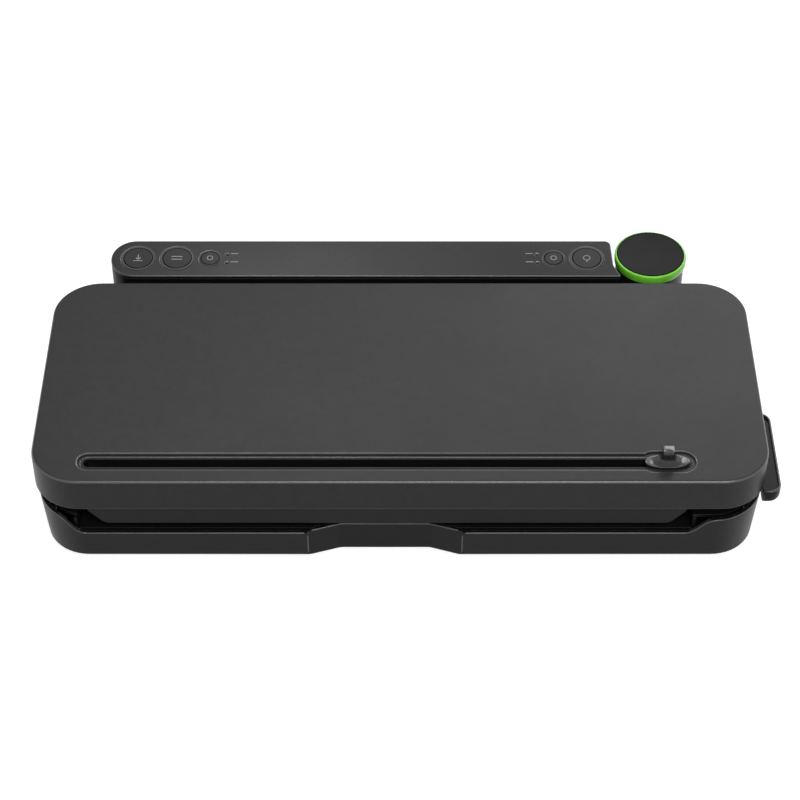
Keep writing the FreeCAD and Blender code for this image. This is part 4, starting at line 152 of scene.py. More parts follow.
# %% The finishes
LONG_GROUND = (0.04, 1.0, 1.0)
FINISHES = {
    "base_plastic": finish("base_plastic", (0.007, 0.0071, 0.0072), 0.38, shine=0.14),
    "lid_plastic": finish("lid_plastic", (0.0235, 0.0237, 0.0236), 0.38, grain=1800.0, gloss_drift=0.02,
                          shine=0.14),
    "inner_plastic": finish("inner_plastic", (0.007, 0.0071, 0.0072), 0.45, shine=0.16),
    "bar_plastic": finish("bar_plastic", (0.0055, 0.0056, 0.0057), 0.38, shine=0.07),
    "fascia_plastic": finish("fascia_plastic", (0.008, 0.0081, 0.0082), 0.28, grain=1800.0, gloss_drift=0.02,
                             shine=0.16),
    "button_plastic": finish("button_plastic", (0.009, 0.0091, 0.0092), 0.36, grain=1800.0, shine=0.16),
    "bezel_plastic": finish("bezel_plastic", (0.012, 0.012, 0.0125), 0.34, depth=0.000004, coat=0.1),
    "lamp_plastic": finish("lamp_plastic", (0.02, 0.021, 0.021), 0.15, depth=0.000004, coat=0.6),
    "black_rubber": finish("black_rubber", (0.014, 0.014, 0.0145), 0.75, grain=1100.0, depth=0.00005),
    "foam_gasket": finish("foam_gasket", (0.03, 0.03, 0.031), 0.85, grain=900.0, depth=0.0002,
                          pattern="cells"),
    "silicone": finish("silicone", (0.11, 0.11, 0.112), 0.55, grain=700.0),
    "release_tape": finish("release_tape", (0.3, 0.2, 0.11), 0.5, grain=1600.0, depth=0.00008,
                           pattern="weave"),
    "steel": finish("steel", (0.6, 0.6, 0.61), 0.3, metallic=1.0, stretch=LONG_GROUND),
    "screw_steel": finish("screw_steel", (0.52, 0.52, 0.53), 0.28, metallic=1.0),
    "lever_plastic": finish("lever_plastic", (0.0055, 0.0056, 0.0057), 0.3, shine=0.09),
    "slider_plastic": finish("slider_plastic", (0.013, 0.0132, 0.0133), 0.22, shine=0.5),
    "green_plastic": finish("green_plastic", (0.19, 0.68, 0.04), 0.32, depth=0.00001, drift=0.05, coat=0.2),
    "head_plastic": finish("head_plastic", (0.011, 0.0112, 0.0113), 0.36, shine=0.2),
    "cap_plastic": finish("cap_plastic", (0.006, 0.0061, 0.0062), 0.42, grain=1800.0, shine=0.06),
    "tray_plastic": finish("tray_plastic", (0.035, 0.035, 0.036), 0.25, depth=0.00001),
    "board": finish("board", (0.02, 0.13, 0.05), 0.35, grain=500.0, drift=0.25),
    "motor_steel": finish("motor_steel", (0.48, 0.48, 0.49), 0.35, metallic=1.0, stretch=LONG_GROUND),
    "core_iron": finish("core_iron", (0.16, 0.16, 0.17), 0.5, metallic=0.8, stretch=(1.0, 1.0, 0.05)),
    "pump_plastic": finish("pump_plastic", (0.5, 0.5, 0.47), 0.45),
}
PRINT_INK = finish("print_ink", (0.32, 0.32, 0.32), 0.6, drift=0.08)
for node, piece in NODES.items():
    piece.data.materials.clear()
    piece.data.materials.append(FINISHES[SLOT_OF[node]])
print(len(FINISHES), "finishes")

# %% [markdown]
# A mould can't make a razor edge, and it is the small rounds that catch the light along a dark case. Each
# piece that can be seen gets a softened twin: its triangles are merged into whole faces, the sharp outer
# edges are bevelled, and weighted normals keep the flat faces flat. A Bevel modifier would narrow every
# round to what fits at the most crowded corner, so the script picks the edges itself and splits off the
# crowded ends of long ones.


# %% A helper for moulded edges
SHARP = math.radians(28)
FLAT = math.radians(0.6)
MERGE = 0.002 * MM
GOES_ON = -0.85
ROOM_AT_SHARP, ROOM_AT_FLAT = 2.6, 1.4
END_ROOM = 4.0


def plain_mesh(piece):
    """Apply a piece's modifiers and leave it with a plain mesh."""
    bpy.context.view_layer.update()
    evaluated = piece.evaluated_get(bpy.context.evaluated_depsgraph_get())
    baked = bpy.data.meshes.new_from_object(evaluated)
    piece.modifiers.clear()
    piece.data = baked
    return piece


def new_piece(name, mesh, material):
    piece = bpy.data.objects.new(name, mesh)
    bpy.context.scene.collection.objects.link(piece)
    piece.data.materials.append(material)
    return piece


def has_room(edge, sharp, width):
    """Whether a round of this width fits at both ends of a sharp edge."""
    for vert in edge.verts:
        along = (edge.other_vert(vert).co - vert.co).normalized()
        for other in vert.link_edges:
            if other == edge:
                continue
            away = (other.other_vert(vert).co - vert.co).normalized()
            if other in sharp and along.dot(away) < GOES_ON:
                continue
            if other.calc_length() < width * (ROOM_AT_SHARP if other in sharp else ROOM_AT_FLAT):
                return False
    return True


def sharp_edges(work):
    """The edges of a closed skin where two faces meet at a clear angle."""
    return {edge for edge in work.edges if len(edge.link_faces) == 2 and edge.calc_face_angle() > SHARP}


def make_room(work, width):
    """Split the ends off each long edge that is crowded there, to leave a middle that can be rounded."""
    sharp = sharp_edges(work)
    end = END_ROOM * width
    long_edges = [edge for edge in work.edges if edge in sharp and edge.calc_length() > 3 * end]
    for edge in [edge for edge in long_edges if not has_room(edge, sharp, width)]:
        first, last = edge.verts
        bmesh.utils.edge_split(edge, first, end / edge.calc_length())
        bmesh.utils.edge_split(edge, last, end / edge.calc_length())


# Rounds whose faces slope up toward the front lamp take the second finish; its paler colour is a painted
# highlight.
HIGHLIGHT_SLOPE_LOW, HIGHLIGHT_SLOPE_HIGH = 0.3, 0.93


def softened(node, width, highlight_finish=None, reshape=None, segments=3):
    """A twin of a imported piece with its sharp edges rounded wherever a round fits."""
    work = bmesh.new()
    work.from_mesh(NODES[node].data)
    bmesh.ops.remove_doubles(work, verts=work.verts, dist=MERGE)
    bmesh.ops.dissolve_limit(work, angle_limit=FLAT, verts=work.verts, edges=work.edges)
    if reshape:
        reshape(work)
    make_room(work, width)
    sharp = sharp_edges(work)
    outer = [edge for edge in work.edges if edge in sharp and edge.is_convex]
    rounded = [edge for edge in outer if has_room(edge, sharp, width)]
    bmesh.ops.bevel(work, geom=rounded, offset=width, segments=segments, profile=0.5, affect="EDGES",
                    clamp_overlap=False, material=1 if highlight_finish else -1)
    for face in work.faces:
        face.smooth = True
        if highlight_finish and HIGHLIGHT_SLOPE_LOW < face.normal.z < HIGHLIGHT_SLOPE_HIGH:
            face.material_index = 1
    mesh = bpy.data.meshes.new(f"{node}_moulded")
    work.to_mesh(mesh)
    work.free()
    mesh.set_sharp_from_angle(angle=SHARP)
    piece = new_piece(f"{node}_moulded", mesh, FINISHES[SLOT_OF[node]])
    if highlight_finish:
        piece.data.materials.append(highlight_finish)
    weigh = piece.modifiers.new("flat_faces", "WEIGHTED_NORMAL")
    weigh.keep_sharp = True
    plain_mesh(piece)
    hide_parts(node)
    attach(piece, BODY_OF[node])
    print(piece.name, len(rounded), "of", len(sharp), "edges,", len(piece.data.polygons), "faces")


# %% [markdown]
# The lever reaches past the place where the side wall turns into the front corner. Its front end is set
# back and in before its edges are rounded, which is simpler than modelling the lever again.

# %% The lever's front end
LEVER_LOW, LEVER_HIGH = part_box("latch_lever")
LEVER_END = LEVER_LOW.y + 10.0 * MM
LEVER_UNDERSIDE = (LEVER_LOW.z + LEVER_HIGH.z) / 2 + 2.0 * MM
LEVER_INNER_FACE = LEVER_LOW.x + 0.3 * MM
LEVER_SHORTER, LEVER_DEEPER, LEVER_CLOSER = 4.0 * MM, 1.6 * MM, 2.0 * MM


def draw_in_lever(work):
    """Set the lever's front end back and in, so that it stays beside the wall as that turns the corner."""
    for vert in work.verts:
        if vert.co.y < LEVER_END:
            vert.co.y += LEVER_SHORTER
            if vert.co.z < LEVER_UNDERSIDE:
                vert.co.z -= LEVER_DEEPER
            if vert.co.x < LEVER_INNER_FACE:
                vert.co.x -= LEVER_CLOSER


print("lever shortened by", LEVER_SHORTER / MM, "mm")

# %% [markdown]
# Every moulded piece has its own edge width, in millimetres: wide on the case, narrow where two pieces
# nearly meet. On the lid, the base, the fascia and the lever, the rounds that slope up toward the front get a
# second finish: glossier than the grained faces, and paler, which is a painted highlight. One loop then makes
# all the twins.

# %% Moulded edges
EDGES = {
    "lid_shell": 0.35, "base_housing": 0.6, "control_housing": 0.5, "control_fascia": 0.5, "latch_lever": 0.6,
    "handheld_body": 0.6, "bag_guides": 0.3, "lid_inner_panel": 0.5, "deck_plate": 0.25, "drip_tray": 0.35,
    "dock_sleeve": 0.4, "cutter_rail": 0.2,
    "power_inlet": 0.4, "bottom_cover": 0.4, "rubber_feet": 0.4, "lower_gasket": 0.6, "upper_gasket": 0.5,
    "pressure_strip": 0.6, "hinge_arms": 0.4, "lid_hinge_lugs": 0.3, "lid_catches": 0.3, "latch_hooks": 0.3,
    "vacuum_button": 0.2, "seal_button": 0.2, "food_mode_button": 0.2, "port_mode_button": 0.2,
    "handheld_button": 0.2, "button_rings": 0.12,
}
# Second finishes for those rounds: the lower roughness and stronger gloss are real, the paler colour is a
# painted highlight.
HIGHLIGHT_EDGE_FINISHES = {
    "lid_shell": finish("lid_edge", (0.062, 0.0625, 0.0625), 0.24, depth=0.000008, shine=0.6),
    "base_housing": finish("base_edge", (0.045, 0.0455, 0.0455), 0.22, depth=0.000008, shine=0.6),
    "control_fascia": finish("fascia_edge_painted_highlight", (0.05, 0.0505, 0.0505), 0.24, depth=0.000008, shine=0.6),
    "latch_lever": finish("lever_edge_painted_highlight", (0.045, 0.0455, 0.0455), 0.24, depth=0.000008, shine=0.6),
}
RESHAPED = {"latch_lever": draw_in_lever}
for node, width in EDGES.items():
    softened(node, width * MM, HIGHLIGHT_EDGE_FINISHES.get(node), RESHAPED.get(node))

# %% [markdown]
# The thumb piece of the cutter is the one part with no flat side: its fin grows out of an oval cap in a
# hollow curve, like a saddle. It is skinned over a stack of rounded ovals, and the stem below it drops into
# the rail.


# %% The cutter's thumb piece
def oval(half_x, half_y, height, power, steps=56):
    """A rounded oval at a height; a higher power makes it squarer."""
    spots = []
    for place in range(steps):
        angle = math.tau * place / steps
        across, along = math.cos(angle), math.sin(angle)
        x = math.copysign(abs(across) ** (2 / power), across) * half_x
        y = math.copysign(abs(along) ** (2 / power), along) * half_y
        spots.append((x, y, height))
    return spots


def skinned(name, sections, middle):
    """A closed skin over a stack of ovals, set on a middle point."""
    work = bmesh.new()
    rows = [[work.verts.new(Vector(spot) * MM + middle) for spot in section] for section in sections]
    count = len(rows[0])
    for lower, upper in zip(rows, rows[1:]):
        for place in range(count):
            after = (place + 1) % count
            work.faces.new((lower[place], lower[after], upper[after], upper[place]))
    work.faces.new(rows[0][::-1])
    work.faces.new(rows[-1])
    for face in work.faces:
        face.smooth = True
    mesh = bpy.data.meshes.new(name)
    work.to_mesh(mesh)
    work.free()
    mesh.set_sharp_from_angle(angle=math.radians(42))
    return mesh


slider_low, slider_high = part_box("cutter_slider")
CAP_TO_TOP, CAP_DEPTH, FLARE = 9.0, 2.0, 5.2
CAP_X, CAP_Y = 11.9, 5.1
FIN_X, FIN_Y = 3.1, 2.7
SPREAD_X, SPREAD_Y = 4.6, 1.7
SOFT, SQUARE = 2.2, 8
FLARE_STEPS = 8
cap_z = slider_high.z - CAP_TO_TOP * MM
slider_middle = Vector(((slider_low.x + slider_high.x) / 2, (slider_low.y + slider_high.y) / 2, cap_z))
stem = [vert.co for vert in NODES["cutter_slider"].data.vertices if vert.co.z < cap_z - 6.0 * MM]
stem_x = (max(spot.x for spot in stem) - min(spot.x for spot in stem)) / 2 / MM
stem_y = (max(spot.y for spot in stem) - min(spot.y for spot in stem)) / 2 / MM
stem_foot = (slider_low.z - cap_z) / MM
stack = [
    oval(stem_x, stem_y, stem_foot, SQUARE), oval(stem_x, stem_y, -CAP_DEPTH, SQUARE),
    oval(CAP_X, CAP_Y, -CAP_DEPTH, SOFT), oval(CAP_X, CAP_Y, -0.5, SOFT),
    oval(CAP_X - 0.15, CAP_Y - 0.1, -0.15, SOFT), oval(CAP_X - 0.6, CAP_Y - 0.4, 0.0, SOFT),
    oval(CAP_X - 1.0, CAP_Y - 0.6, 0.01, SOFT),
]
for step in range(FLARE_STEPS + 1):
    share = step / FLARE_STEPS
    fade = (1 - share) ** 2.3
    half_x, half_y = FIN_X + SPREAD_X * fade, FIN_Y + SPREAD_Y * fade
    stack.append(oval(half_x, half_y, 0.02 + FLARE * share, 2.6 + 5 * share))
for inset, drop in ((0.0, 0.6), (0.15, 0.15), (0.6, 0.0)):
    stack.append(oval(FIN_X - inset, FIN_Y - inset, CAP_TO_TOP - drop, SQUARE))
thumb = new_piece("cutter_thumb_piece", skinned("cutter_thumb_piece", stack, slider_middle),
                  FINISHES["slider_plastic"])
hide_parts("cutter_slider")
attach(thumb, "cutter")
print(thumb.name, len(thumb.data.polygons), "faces")

# %% [markdown]
# The handheld head is turned. Its dark disc almost covers the top, and the green ring is a band round it
# that sits a little lower, so that from above only a thin line of green shows and the band is widest in
# front.


# %% The handheld head's ring and disc
def lathe(name, profile, steps=48):
    """Turn a profile of radius and height about the upright axis."""
    work = bmesh.new()
    verts = [work.verts.new((radius, 0, height)) for radius, height in profile]
    edges = [work.edges.new(pair) for pair in zip(verts, verts[1:])]
    bmesh.ops.spin(work, geom=verts + edges, axis=(0, 0, 1), cent=(0, 0, 0), steps=steps, angle=math.tau)
    bmesh.ops.remove_doubles(work, verts=work.verts, dist=0.001 * MM)
    bmesh.ops.recalc_face_normals(work, faces=work.faces)
    for face in work.faces:
        face.smooth = True
    mesh = bpy.data.meshes.new(name)
    work.to_mesh(mesh)
    work.free()
    mesh.set_sharp_from_angle(angle=math.radians(40))
    return mesh


def turned(name, node, profile, steps=112):
    """A turned piece that stands for a packed one, on that piece's own axis."""
    low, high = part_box(node)
    mesh = lathe(name, [(radius * MM, height * MM) for radius, height in profile], steps)
    mesh.transform(Matrix.Translation(((low.x + high.x) / 2, (low.y + high.y) / 2, 0)))
    piece = new_piece(name, mesh, FINISHES[SLOT_OF[node]])
    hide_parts(node)
    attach(piece, BODY_OF[node])
    print(name, len(piece.data.polygons), "faces")


ring_low, ring_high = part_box("handheld_ring")
disc_low, disc_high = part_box("handheld_cap")
RING_RADIUS = (ring_high.x - ring_low.x) / 2 / MM
DISC_RADIUS = RING_RADIUS - 1.15
band_top, band_foot = disc_high.z / MM - 0.45, ring_low.z / MM + 0.6
turned("handheld_green_band", "handheld_ring", [
    (DISC_RADIUS + 0.02, band_foot), (RING_RADIUS - 0.6, band_foot), (RING_RADIUS - 0.15, band_foot + 0.25),
    (RING_RADIUS, band_foot + 0.8), (RING_RADIUS, band_top - 1.0), (RING_RADIUS - 0.12, band_top - 0.45),
    (RING_RADIUS - 0.45, band_top - 0.1), (DISC_RADIUS + 0.3, band_top), (DISC_RADIUS + 0.02, band_top),
    (DISC_RADIUS + 0.02, band_foot)])
disc_top, disc_foot = disc_high.z / MM, disc_low.z / MM
turned("handheld_top_disc", "handheld_cap", [
    (0, disc_foot), (DISC_RADIUS - 1.5, disc_foot), (DISC_RADIUS, band_foot), (DISC_RADIUS, disc_top - 0.5),
    (DISC_RADIUS - 0.15, disc_top - 0.15), (DISC_RADIUS - 0.5, disc_top), (DISC_RADIUS - 1.1, disc_top),
    (DISC_RADIUS - 1.3, disc_top - 0.12), (DISC_RADIUS - 1.5, disc_top - 0.12), (0, disc_top - 0.12)])

# %% [markdown]
# Screws and lamps repeat, so a small node tree places copies of one shape on a handful of points. The
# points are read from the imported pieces, which keeps each copy on its seat, and the result is baked to a
# plain mesh.


# %% A helper for repeats
def repeat_tree(name, shape, material):
    """Copies of a shape on the points of a mesh, turned by an even amount and scaled."""
    tree = bpy.data.node_groups.new(name, "GeometryNodeTree")
    tree.interface.new_socket("Points", in_out="INPUT", socket_type="NodeSocketGeometry")
    size = tree.interface.new_socket("Size", in_out="INPUT", socket_type="NodeSocketFloat")
    turn = tree.interface.new_socket("Turn", in_out="INPUT", socket_type="NodeSocketFloat")
    tree.interface.new_socket("Copies", in_out="OUTPUT", socket_type="NodeSocketGeometry")
    source = tree.nodes.new("NodeGroupInput")
    result = tree.nodes.new("NodeGroupOutput")
    info = tree.nodes.new("GeometryNodeObjectInfo")
    info.inputs["Object"].default_value = shape
    scatter = tree.nodes.new("GeometryNodeInstanceOnPoints")
    index = tree.nodes.new("GeometryNodeInputIndex")
    angle = tree.nodes.new("ShaderNodeMath")
    angle.operation = "MULTIPLY"
    spin = tree.nodes.new("ShaderNodeCombineXYZ")
    realize = tree.nodes.new("GeometryNodeRealizeInstances")
    paint = tree.nodes.new("GeometryNodeSetMaterial")
    paint.inputs["Material"].default_value = material
    link = tree.links.new
    link(source.outputs["Points"], scatter.inputs["Points"])
    link(info.outputs["Geometry"], scatter.inputs["Instance"])
    link(source.outputs["Size"], scatter.inputs["Scale"])
    link(index.outputs["Index"], angle.inputs[0])
    link(source.outputs["Turn"], angle.inputs[1])
    link(angle.outputs["Value"], spin.inputs["Z"])
    link(spin.outputs["Vector"], scatter.inputs["Rotation"])
    link(scatter.outputs["Instances"], realize.inputs["Geometry"])
    link(realize.outputs["Geometry"], paint.inputs["Geometry"])
    link(paint.outputs["Geometry"], result.inputs["Copies"])
    return tree, size.identifier, turn.identifier


def repeated(name, shape, points, material, body, size=1.0, turn=0.0):
    """One piece made of copies of a shape at the points; the shape itself is removed."""
    mesh = bpy.data.meshes.new(f"{name}_points")
    mesh.from_pydata(points, [], [])
    piece = new_piece(name, mesh, material)
    tree, size_id, turn_id = repeat_tree(f"{name}_copies", shape, material)
    modifier = piece.modifiers.new("copies", "NODES")
    modifier.node_group = tree
    modifier[size_id] = size
    modifier[turn_id] = turn
    plain_mesh(piece)
    bpy.data.objects.remove(shape)
    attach(piece, body)
    print(name, len(points), "copies,", len(piece.data.polygons), "faces")
    return piece


def solid_centres(node):
    """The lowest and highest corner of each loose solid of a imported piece."""
    work = bmesh.new()
    work.from_mesh(NODES[node].data)
    bmesh.ops.remove_doubles(work, verts=work.verts, dist=MERGE)
    seen = set()
    boxes = []
    for start in work.verts:
        if start in seen:
            continue
        island = [start]
        seen.add(start)
        for vert in island:
            for edge in vert.link_edges:
                other = edge.other_vert(vert)
                if other not in seen:
                    seen.add(other)
                    island.append(other)
        axes = list(zip(*[vert.co for vert in island]))
        boxes.append((Vector(map(min, axes)), Vector(map(max, axes))))
    work.free()
    return boxes


# %% [markdown]
# The bottom screws have pan heads with a cross recess. The head is turned from a short profile, and a cross
# of two slots is cut into it with a boolean, because the recess is what makes it read as a screw.


# %% Screws under the base
def bar_box(work, length, width, low, high):
    """A box about the upright axis, between two heights."""
    made = bmesh.ops.create_cube(work, size=1.0)
    place = Matrix.Translation((0, 0, (low + high) / 2)) @ Matrix.Diagonal((length, width, high - low, 1.0))
    bmesh.ops.transform(work, matrix=place, verts=made["verts"])


def cross_screw(name, head_radius, head_height, shank_radius, shank_length):
    """A screw that points up from its head at the origin, with a cross recess below."""
    round_start = head_radius * 0.8
    slot_length, slot_width, slot_depth = head_radius * 1.15, head_radius * 0.26, head_height * 0.6
    profile = [
        (0, 0), (round_start, 0), (head_radius, head_height * 0.45), (head_radius, head_height),
        (shank_radius, head_height), (shank_radius, head_height + shank_length),
        (0, head_height + shank_length),
    ]
    screw = new_piece(name, lathe(name, profile), FINISHES["screw_steel"])
    work = bmesh.new()
    bar_box(work, slot_length, slot_width, -head_height, slot_depth)
    bar_box(work, slot_width, slot_length, -head_height, slot_depth)
    mesh = bpy.data.meshes.new(f"{name}_cross")
    work.to_mesh(mesh)
    work.free()
    cross = new_piece(f"{name}_cross", mesh, FINISHES["screw_steel"])
    cut = screw.modifiers.new("cross", "BOOLEAN")
    cut.object = cross
    cut.operation = "DIFFERENCE"
    cut.use_self = True
    plain_mesh(screw)
    bpy.data.objects.remove(cross)
    return screw


SCREW_HEAD, SCREW_HEAD_HEIGHT, SCREW_SHANK, SCREW_LENGTH = 3.0 * MM, 1.4 * MM, 1.5 * MM, 12.0 * MM
screw = cross_screw("bottom_screw", SCREW_HEAD, SCREW_HEAD_HEIGHT, SCREW_SHANK, SCREW_LENGTH)
seats = [((low.x + high.x) / 2, (low.y + high.y) / 2, low.z) for low, high in solid_centres("bottom_screws")]
screws = repeated("bottom_screw_set", screw, seats, FINISHES["screw_steel"], "base", turn=0.55)
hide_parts("bottom_screws")

# %% [markdown]
# The lever is held by one more screw of the same kind. Its head faces outward at the end of the latch
# shaft, so the upright screw is laid over to point into the case and moved to its seat.

# %% The lever's screw
LEVER_HEAD_HEIGHT = 1.2 * MM
low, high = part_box("lever_screw")
lever_head = (high.z - low.z) / 2
shank_length = high.x - low.x - LEVER_HEAD_HEIGHT
lever_screw = cross_screw("lever_cross_screw", lever_head, LEVER_HEAD_HEIGHT, lever_head / 2, shank_length)
seat = Matrix.Translation((high.x, (low.y + high.y) / 2, (low.z + high.z) / 2))
lever_screw.data.transform(seat @ Matrix.Rotation(math.radians(-90), 4, "Y"))
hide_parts("lever_screw")
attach(lever_screw, BODY_OF["lever_screw"])
print(lever_screw.name, len(lever_screw.data.polygons), "faces")

# %% [markdown]
# The lamps are tiny clear lenses in pairs beside the small buttons. Each is a shallow dome on a short
# barrel that fills the hole in the fascia.

# %% Lamp lenses
LENS_RADIUS, LENS_RISE, LENS_BARREL, LENS_SUNK = 0.9 * MM, 0.22 * MM, 2.0 * MM, 0.12 * MM
arc = [math.radians(angle) for angle in range(0, 91, 15)]
dome = [(LENS_RADIUS * math.cos(angle), LENS_RISE * math.sin(angle)) for angle in arc]
barrel = [(0, -LENS_BARREL), (LENS_RADIUS, -LENS_BARREL)]
lens = new_piece("lamp_lens", lathe("lamp_lens", barrel + dome, steps=24), FINISHES["lamp_plastic"])
lamp_tops = [((low.x + high.x) / 2, high.y - LENS_RADIUS, high.z - LENS_SUNK)
             for low, high in solid_centres("lamp_windows")]
lenses = repeated("lamp_lens_set", lens, lamp_tops, FINISHES["lamp_plastic"], "base")
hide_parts("lamp_windows")

# %% [markdown]
# Pad printing lies on a button as a film of pale ink. An image could be mapped onto the button, but real
# strokes stay sharp in every view, so a sign is drawn from flat bars of ink and small rings.

# %% A helper for ink
BAR_TILT = math.radians(4)
INK = 0.04 * MM
STROKE = 0.55 * MM


def stroke(work, start, end, width=STROKE):
    """A flat bar of ink between two points of the sign."""
    start, end = Vector(start), Vector(end)
    side = (end - start).normalized().orthogonal() * width / 2
    low = [start + side, end + side, end - side, start - side]
    bottom = [work.verts.new((spot.x, spot.y, 0)) for spot in low]
    top = [work.verts.new((spot.x, spot.y, INK)) for spot in low]
    work.faces.new(top)
    work.faces.new(bottom[::-1])
    for place in range(4):
        after = (place + 1) % 4
        work.faces.new((bottom[place], bottom[after], top[after], top[place]))


def ring_of_ink(work, radius, steps=28):
    """A circle of short strokes."""
    angles = [math.tau * place / steps for place in range(steps)]
    spots = [(radius * math.cos(angle), radius * math.sin(angle)) for angle in angles]
    for place in range(steps):
        stroke(work, spots[place], spots[(place + 1) % steps], STROKE * 0.8)


def printed(name, draw, spot, body):
    """A sign drawn flat, tilted with the bar and laid on a spot."""
    work = bmesh.new()
    draw(work)
    bmesh.ops.recalc_face_normals(work, faces=work.faces)
    place = Matrix.Translation(spot) @ Matrix.Rotation(BAR_TILT, 4, "X")
    bmesh.ops.transform(work, matrix=place, verts=work.verts)
    mesh = bpy.data.meshes.new(name)
    work.to_mesh(mesh)
    work.free()
    piece = new_piece(name, mesh, PRINT_INK)
    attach(piece, body)
    print(name, len(piece.data.polygons), "faces")


# %% [markdown]
# The signs are plain ones: an arrow down to a line, two bars, a ring and a nozzle. Each is laid in the
# plane of the sloping bar, a hair above its button, and rides on that button so that it sinks with it.


# %% Signs on the buttons
def arrow_sign(work, size):
    stroke(work, (0, size), (0, -size * 0.45))
    stroke(work, (-size * 0.5, size * 0.05), (0, -size * 0.5))
    stroke(work, (size * 0.5, size * 0.05), (0, -size * 0.5))
    stroke(work, (-size, -size * 0.9), (size, -size * 0.9))


def bars_sign(work, size):
    stroke(work, (-size, size * 0.35), (size, size * 0.35))
    stroke(work, (-size, -size * 0.35), (size, -size * 0.35))


def ring_sign(work, size):
    ring_of_ink(work, size * 0.8)


def nozzle_sign(work, size):
    ring_of_ink(work, size * 0.55)
    stroke(work, (0, -size * 0.55), (0, -size))


SIGNS = {
    "vacuum_button": (arrow_sign, 2.6), "seal_button": (bars_sign, 3.2), "food_mode_button": (ring_sign, 2.0),
    "port_mode_button": (ring_sign, 2.0), "handheld_button": (nozzle_sign, 3.4),
}


SKIRT, LEAN, ABOVE = 1.5 * MM, 0.1 * MM, 0.03 * MM


def button_top(node):
    """The middle of a button's top face on the sloping bar."""
    low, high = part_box(node)
    lift = ((high.x - low.x) / 2 - SKIRT) * math.sin(BAR_TILT)
    return Vector(((low.x + high.x) / 2, (low.y + high.y) / 2 - LEAN, high.z - lift + ABOVE))


for node, (draw, size) in SIGNS.items():
    printed(f"{node}_sign", lambda work: draw(work, size * MM), button_top(node), BODY_OF[node])

# %% [markdown]
# A short tick of the same ink stands beside each lamp, on the side that faces the middle of the bar.

# %% Ticks beside the lamps
LAMP_TICK = 4.2 * MM
TICK_GAP = 2.2 * MM
middle_x = (CAD_BOX[0][0] + CAD_BOX[1][0]) / 2
for place, (x, y, z) in enumerate(lamp_tops):
    side = 1 if x < middle_x else -1
    near, far = side * TICK_GAP, side * (TICK_GAP + LAMP_TICK)
    printed(f"lamp_tick_{place}", lambda work: stroke(work, (near, 0), (far, 0)), Vector((x, y, z)), "base")

# %% [markdown]
# The sealer stands on a pale floor that keeps a soft shadow. A floor that is bright enough to look white
# would also throw light up at the dark case, so its own colour is a light grey. It glows only for rays that
# come from the camera, from a gloss or through something clear.


# %% The floor
def white_for_the_eye(tree):
    """One for camera, glossy and transmission rays, otherwise zero."""
    path = tree.nodes.new("ShaderNodeLightPath")
    total = path.outputs["Is Camera Ray"]
    for name in ("Is Glossy Ray", "Is Transmission Ray"):
        either = tree.nodes.new("ShaderNodeMath")
        either.operation = "MAXIMUM"
        tree.links.new(total, either.inputs[0])
        tree.links.new(path.outputs[name], either.inputs[1])
        total = either.outputs["Value"]
    return total


FLOOR_SIZE = 12.0
FLOOR_GLOW = 0.8
FLOOR_GREY = 0.5
floor_mesh = bpy.data.meshes.new("floor")
half = FLOOR_SIZE / 2
corners = [(-half, -half, 0), (half, -half, 0), (half, half, 0), (-half, half, 0)]
floor_mesh.from_pydata(corners, [], [(0, 1, 2, 3)])
floor_paint = bpy.data.materials.new("pale_floor")
floor_paint.use_nodes = True
tree = floor_paint.node_tree
paint = tree.nodes["Principled BSDF"]
paint.inputs["Base Color"].default_value = (FLOOR_GREY, FLOOR_GREY, FLOOR_GREY, 1.0)
paint.inputs["Roughness"].default_value = 0.9
paint.inputs["Emission Color"].default_value = (1.0, 1.0, 1.0, 1.0)
glow = tree.nodes.new("ShaderNodeMath")
glow.operation = "MULTIPLY"
glow.inputs[1].default_value = FLOOR_GLOW
tree.links.new(white_for_the_eye(tree), glow.inputs[0])
tree.links.new(glow.outputs["Value"], paint.inputs["Emission Strength"])
floor = new_piece("floor", floor_mesh, floor_paint)
print("floor", FLOOR_SIZE, "m")

# %% [markdown]
# Beyond the floor's edge lies a white surround. It is white to the camera and in reflections, in the same
# way as the floor, and lights the room only faintly, because the soft boxes do that.

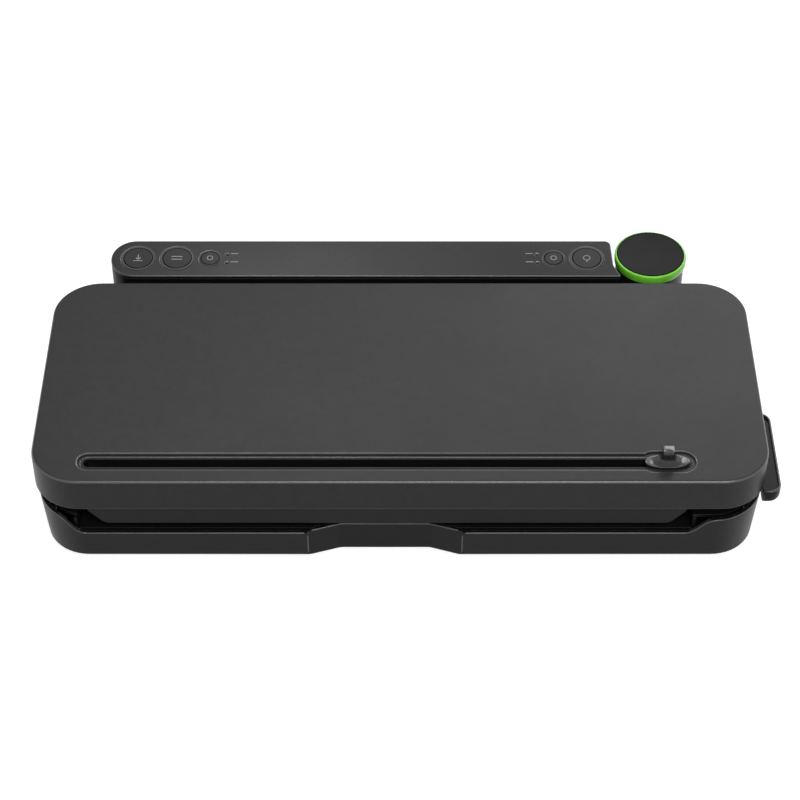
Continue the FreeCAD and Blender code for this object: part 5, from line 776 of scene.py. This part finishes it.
# %% The surround
AMBIENT = 0.14
world = bpy.data.worlds.new("studio")
bpy.context.scene.world = world
world.use_nodes = True
tree = world.node_tree
sky = tree.nodes["Background"]
sky.inputs["Color"].default_value = (1.0, 1.0, 1.0, 1.0)
level = tree.nodes.new("ShaderNodeMapRange")
level.inputs["To Min"].default_value = AMBIENT
level.inputs["To Max"].default_value = 1.0
tree.links.new(white_for_the_eye(tree), level.inputs["Value"])
tree.links.new(level.outputs["Result"], sky.inputs["Strength"])
print("surround", AMBIENT)

# %% [markdown]
# Four soft boxes light the sealer. The large one behind on the right gives the satin lid its slow change
# from left to right, the small one behind brightens the left of the button bar, the front one opens the
# slot and draws the light lines along the edges, and the one overhead fills.


# %% Soft boxes
def soft_light(name, spot, target, size, power):
    """A rectangular lamp at a spot, turned to a target, in metres and watts."""
    lamp = bpy.data.lights.new(name, "AREA")
    lamp.shape = "RECTANGLE"
    lamp.size, lamp.size_y = size
    lamp.energy = power
    holder = bpy.data.objects.new(name, lamp)
    holder.location = spot
    holder.rotation_euler = (Vector(target) - Vector(spot)).to_track_quat("-Z", "Y").to_euler()
    bpy.context.scene.collection.objects.link(holder)
    print(name, power, "W")


soft_light("rear_right", (0.8, 1.85, 1.5), (0.1, 0, 0.05), (1.4, 0.7), 19.0)
soft_light("rear_left", (-0.16, 1.2, 1.66), (-0.06, 0.07, 0.07), (0.24, 0.2), 4.8)
soft_light("front_box", (0.3, -1.4, 1.6), (0, -0.05, 0.05), (1.3, 0.7), 22.0)
soft_light("overhead", (0.0, 0.1, 2.2), (0, 0, 0), (1.6, 1.6), 11.0)

# %% [markdown]
# The camera stands in front of the lid's middle and looks down at 44 degrees through a long lens, as the
# photograph was taken.

# %% Camera
LENS = 102.8
LOOK_DOWN = math.radians(44)
CAMERA_SPOT = (-4.2 * MM, -928.1 * MM, 919.7 * MM)
camera_data = bpy.data.cameras.new("camera")
camera_data.lens = LENS
camera = bpy.data.objects.new("camera", camera_data)
camera.location = CAMERA_SPOT
camera.rotation_euler = (math.radians(90) - LOOK_DOWN, 0, 0)
bpy.context.scene.collection.objects.link(camera)
bpy.context.scene.camera = camera
bpy.context.scene.view_settings.view_transform = "Standard"
print("camera at", CAMERA_SPOT)
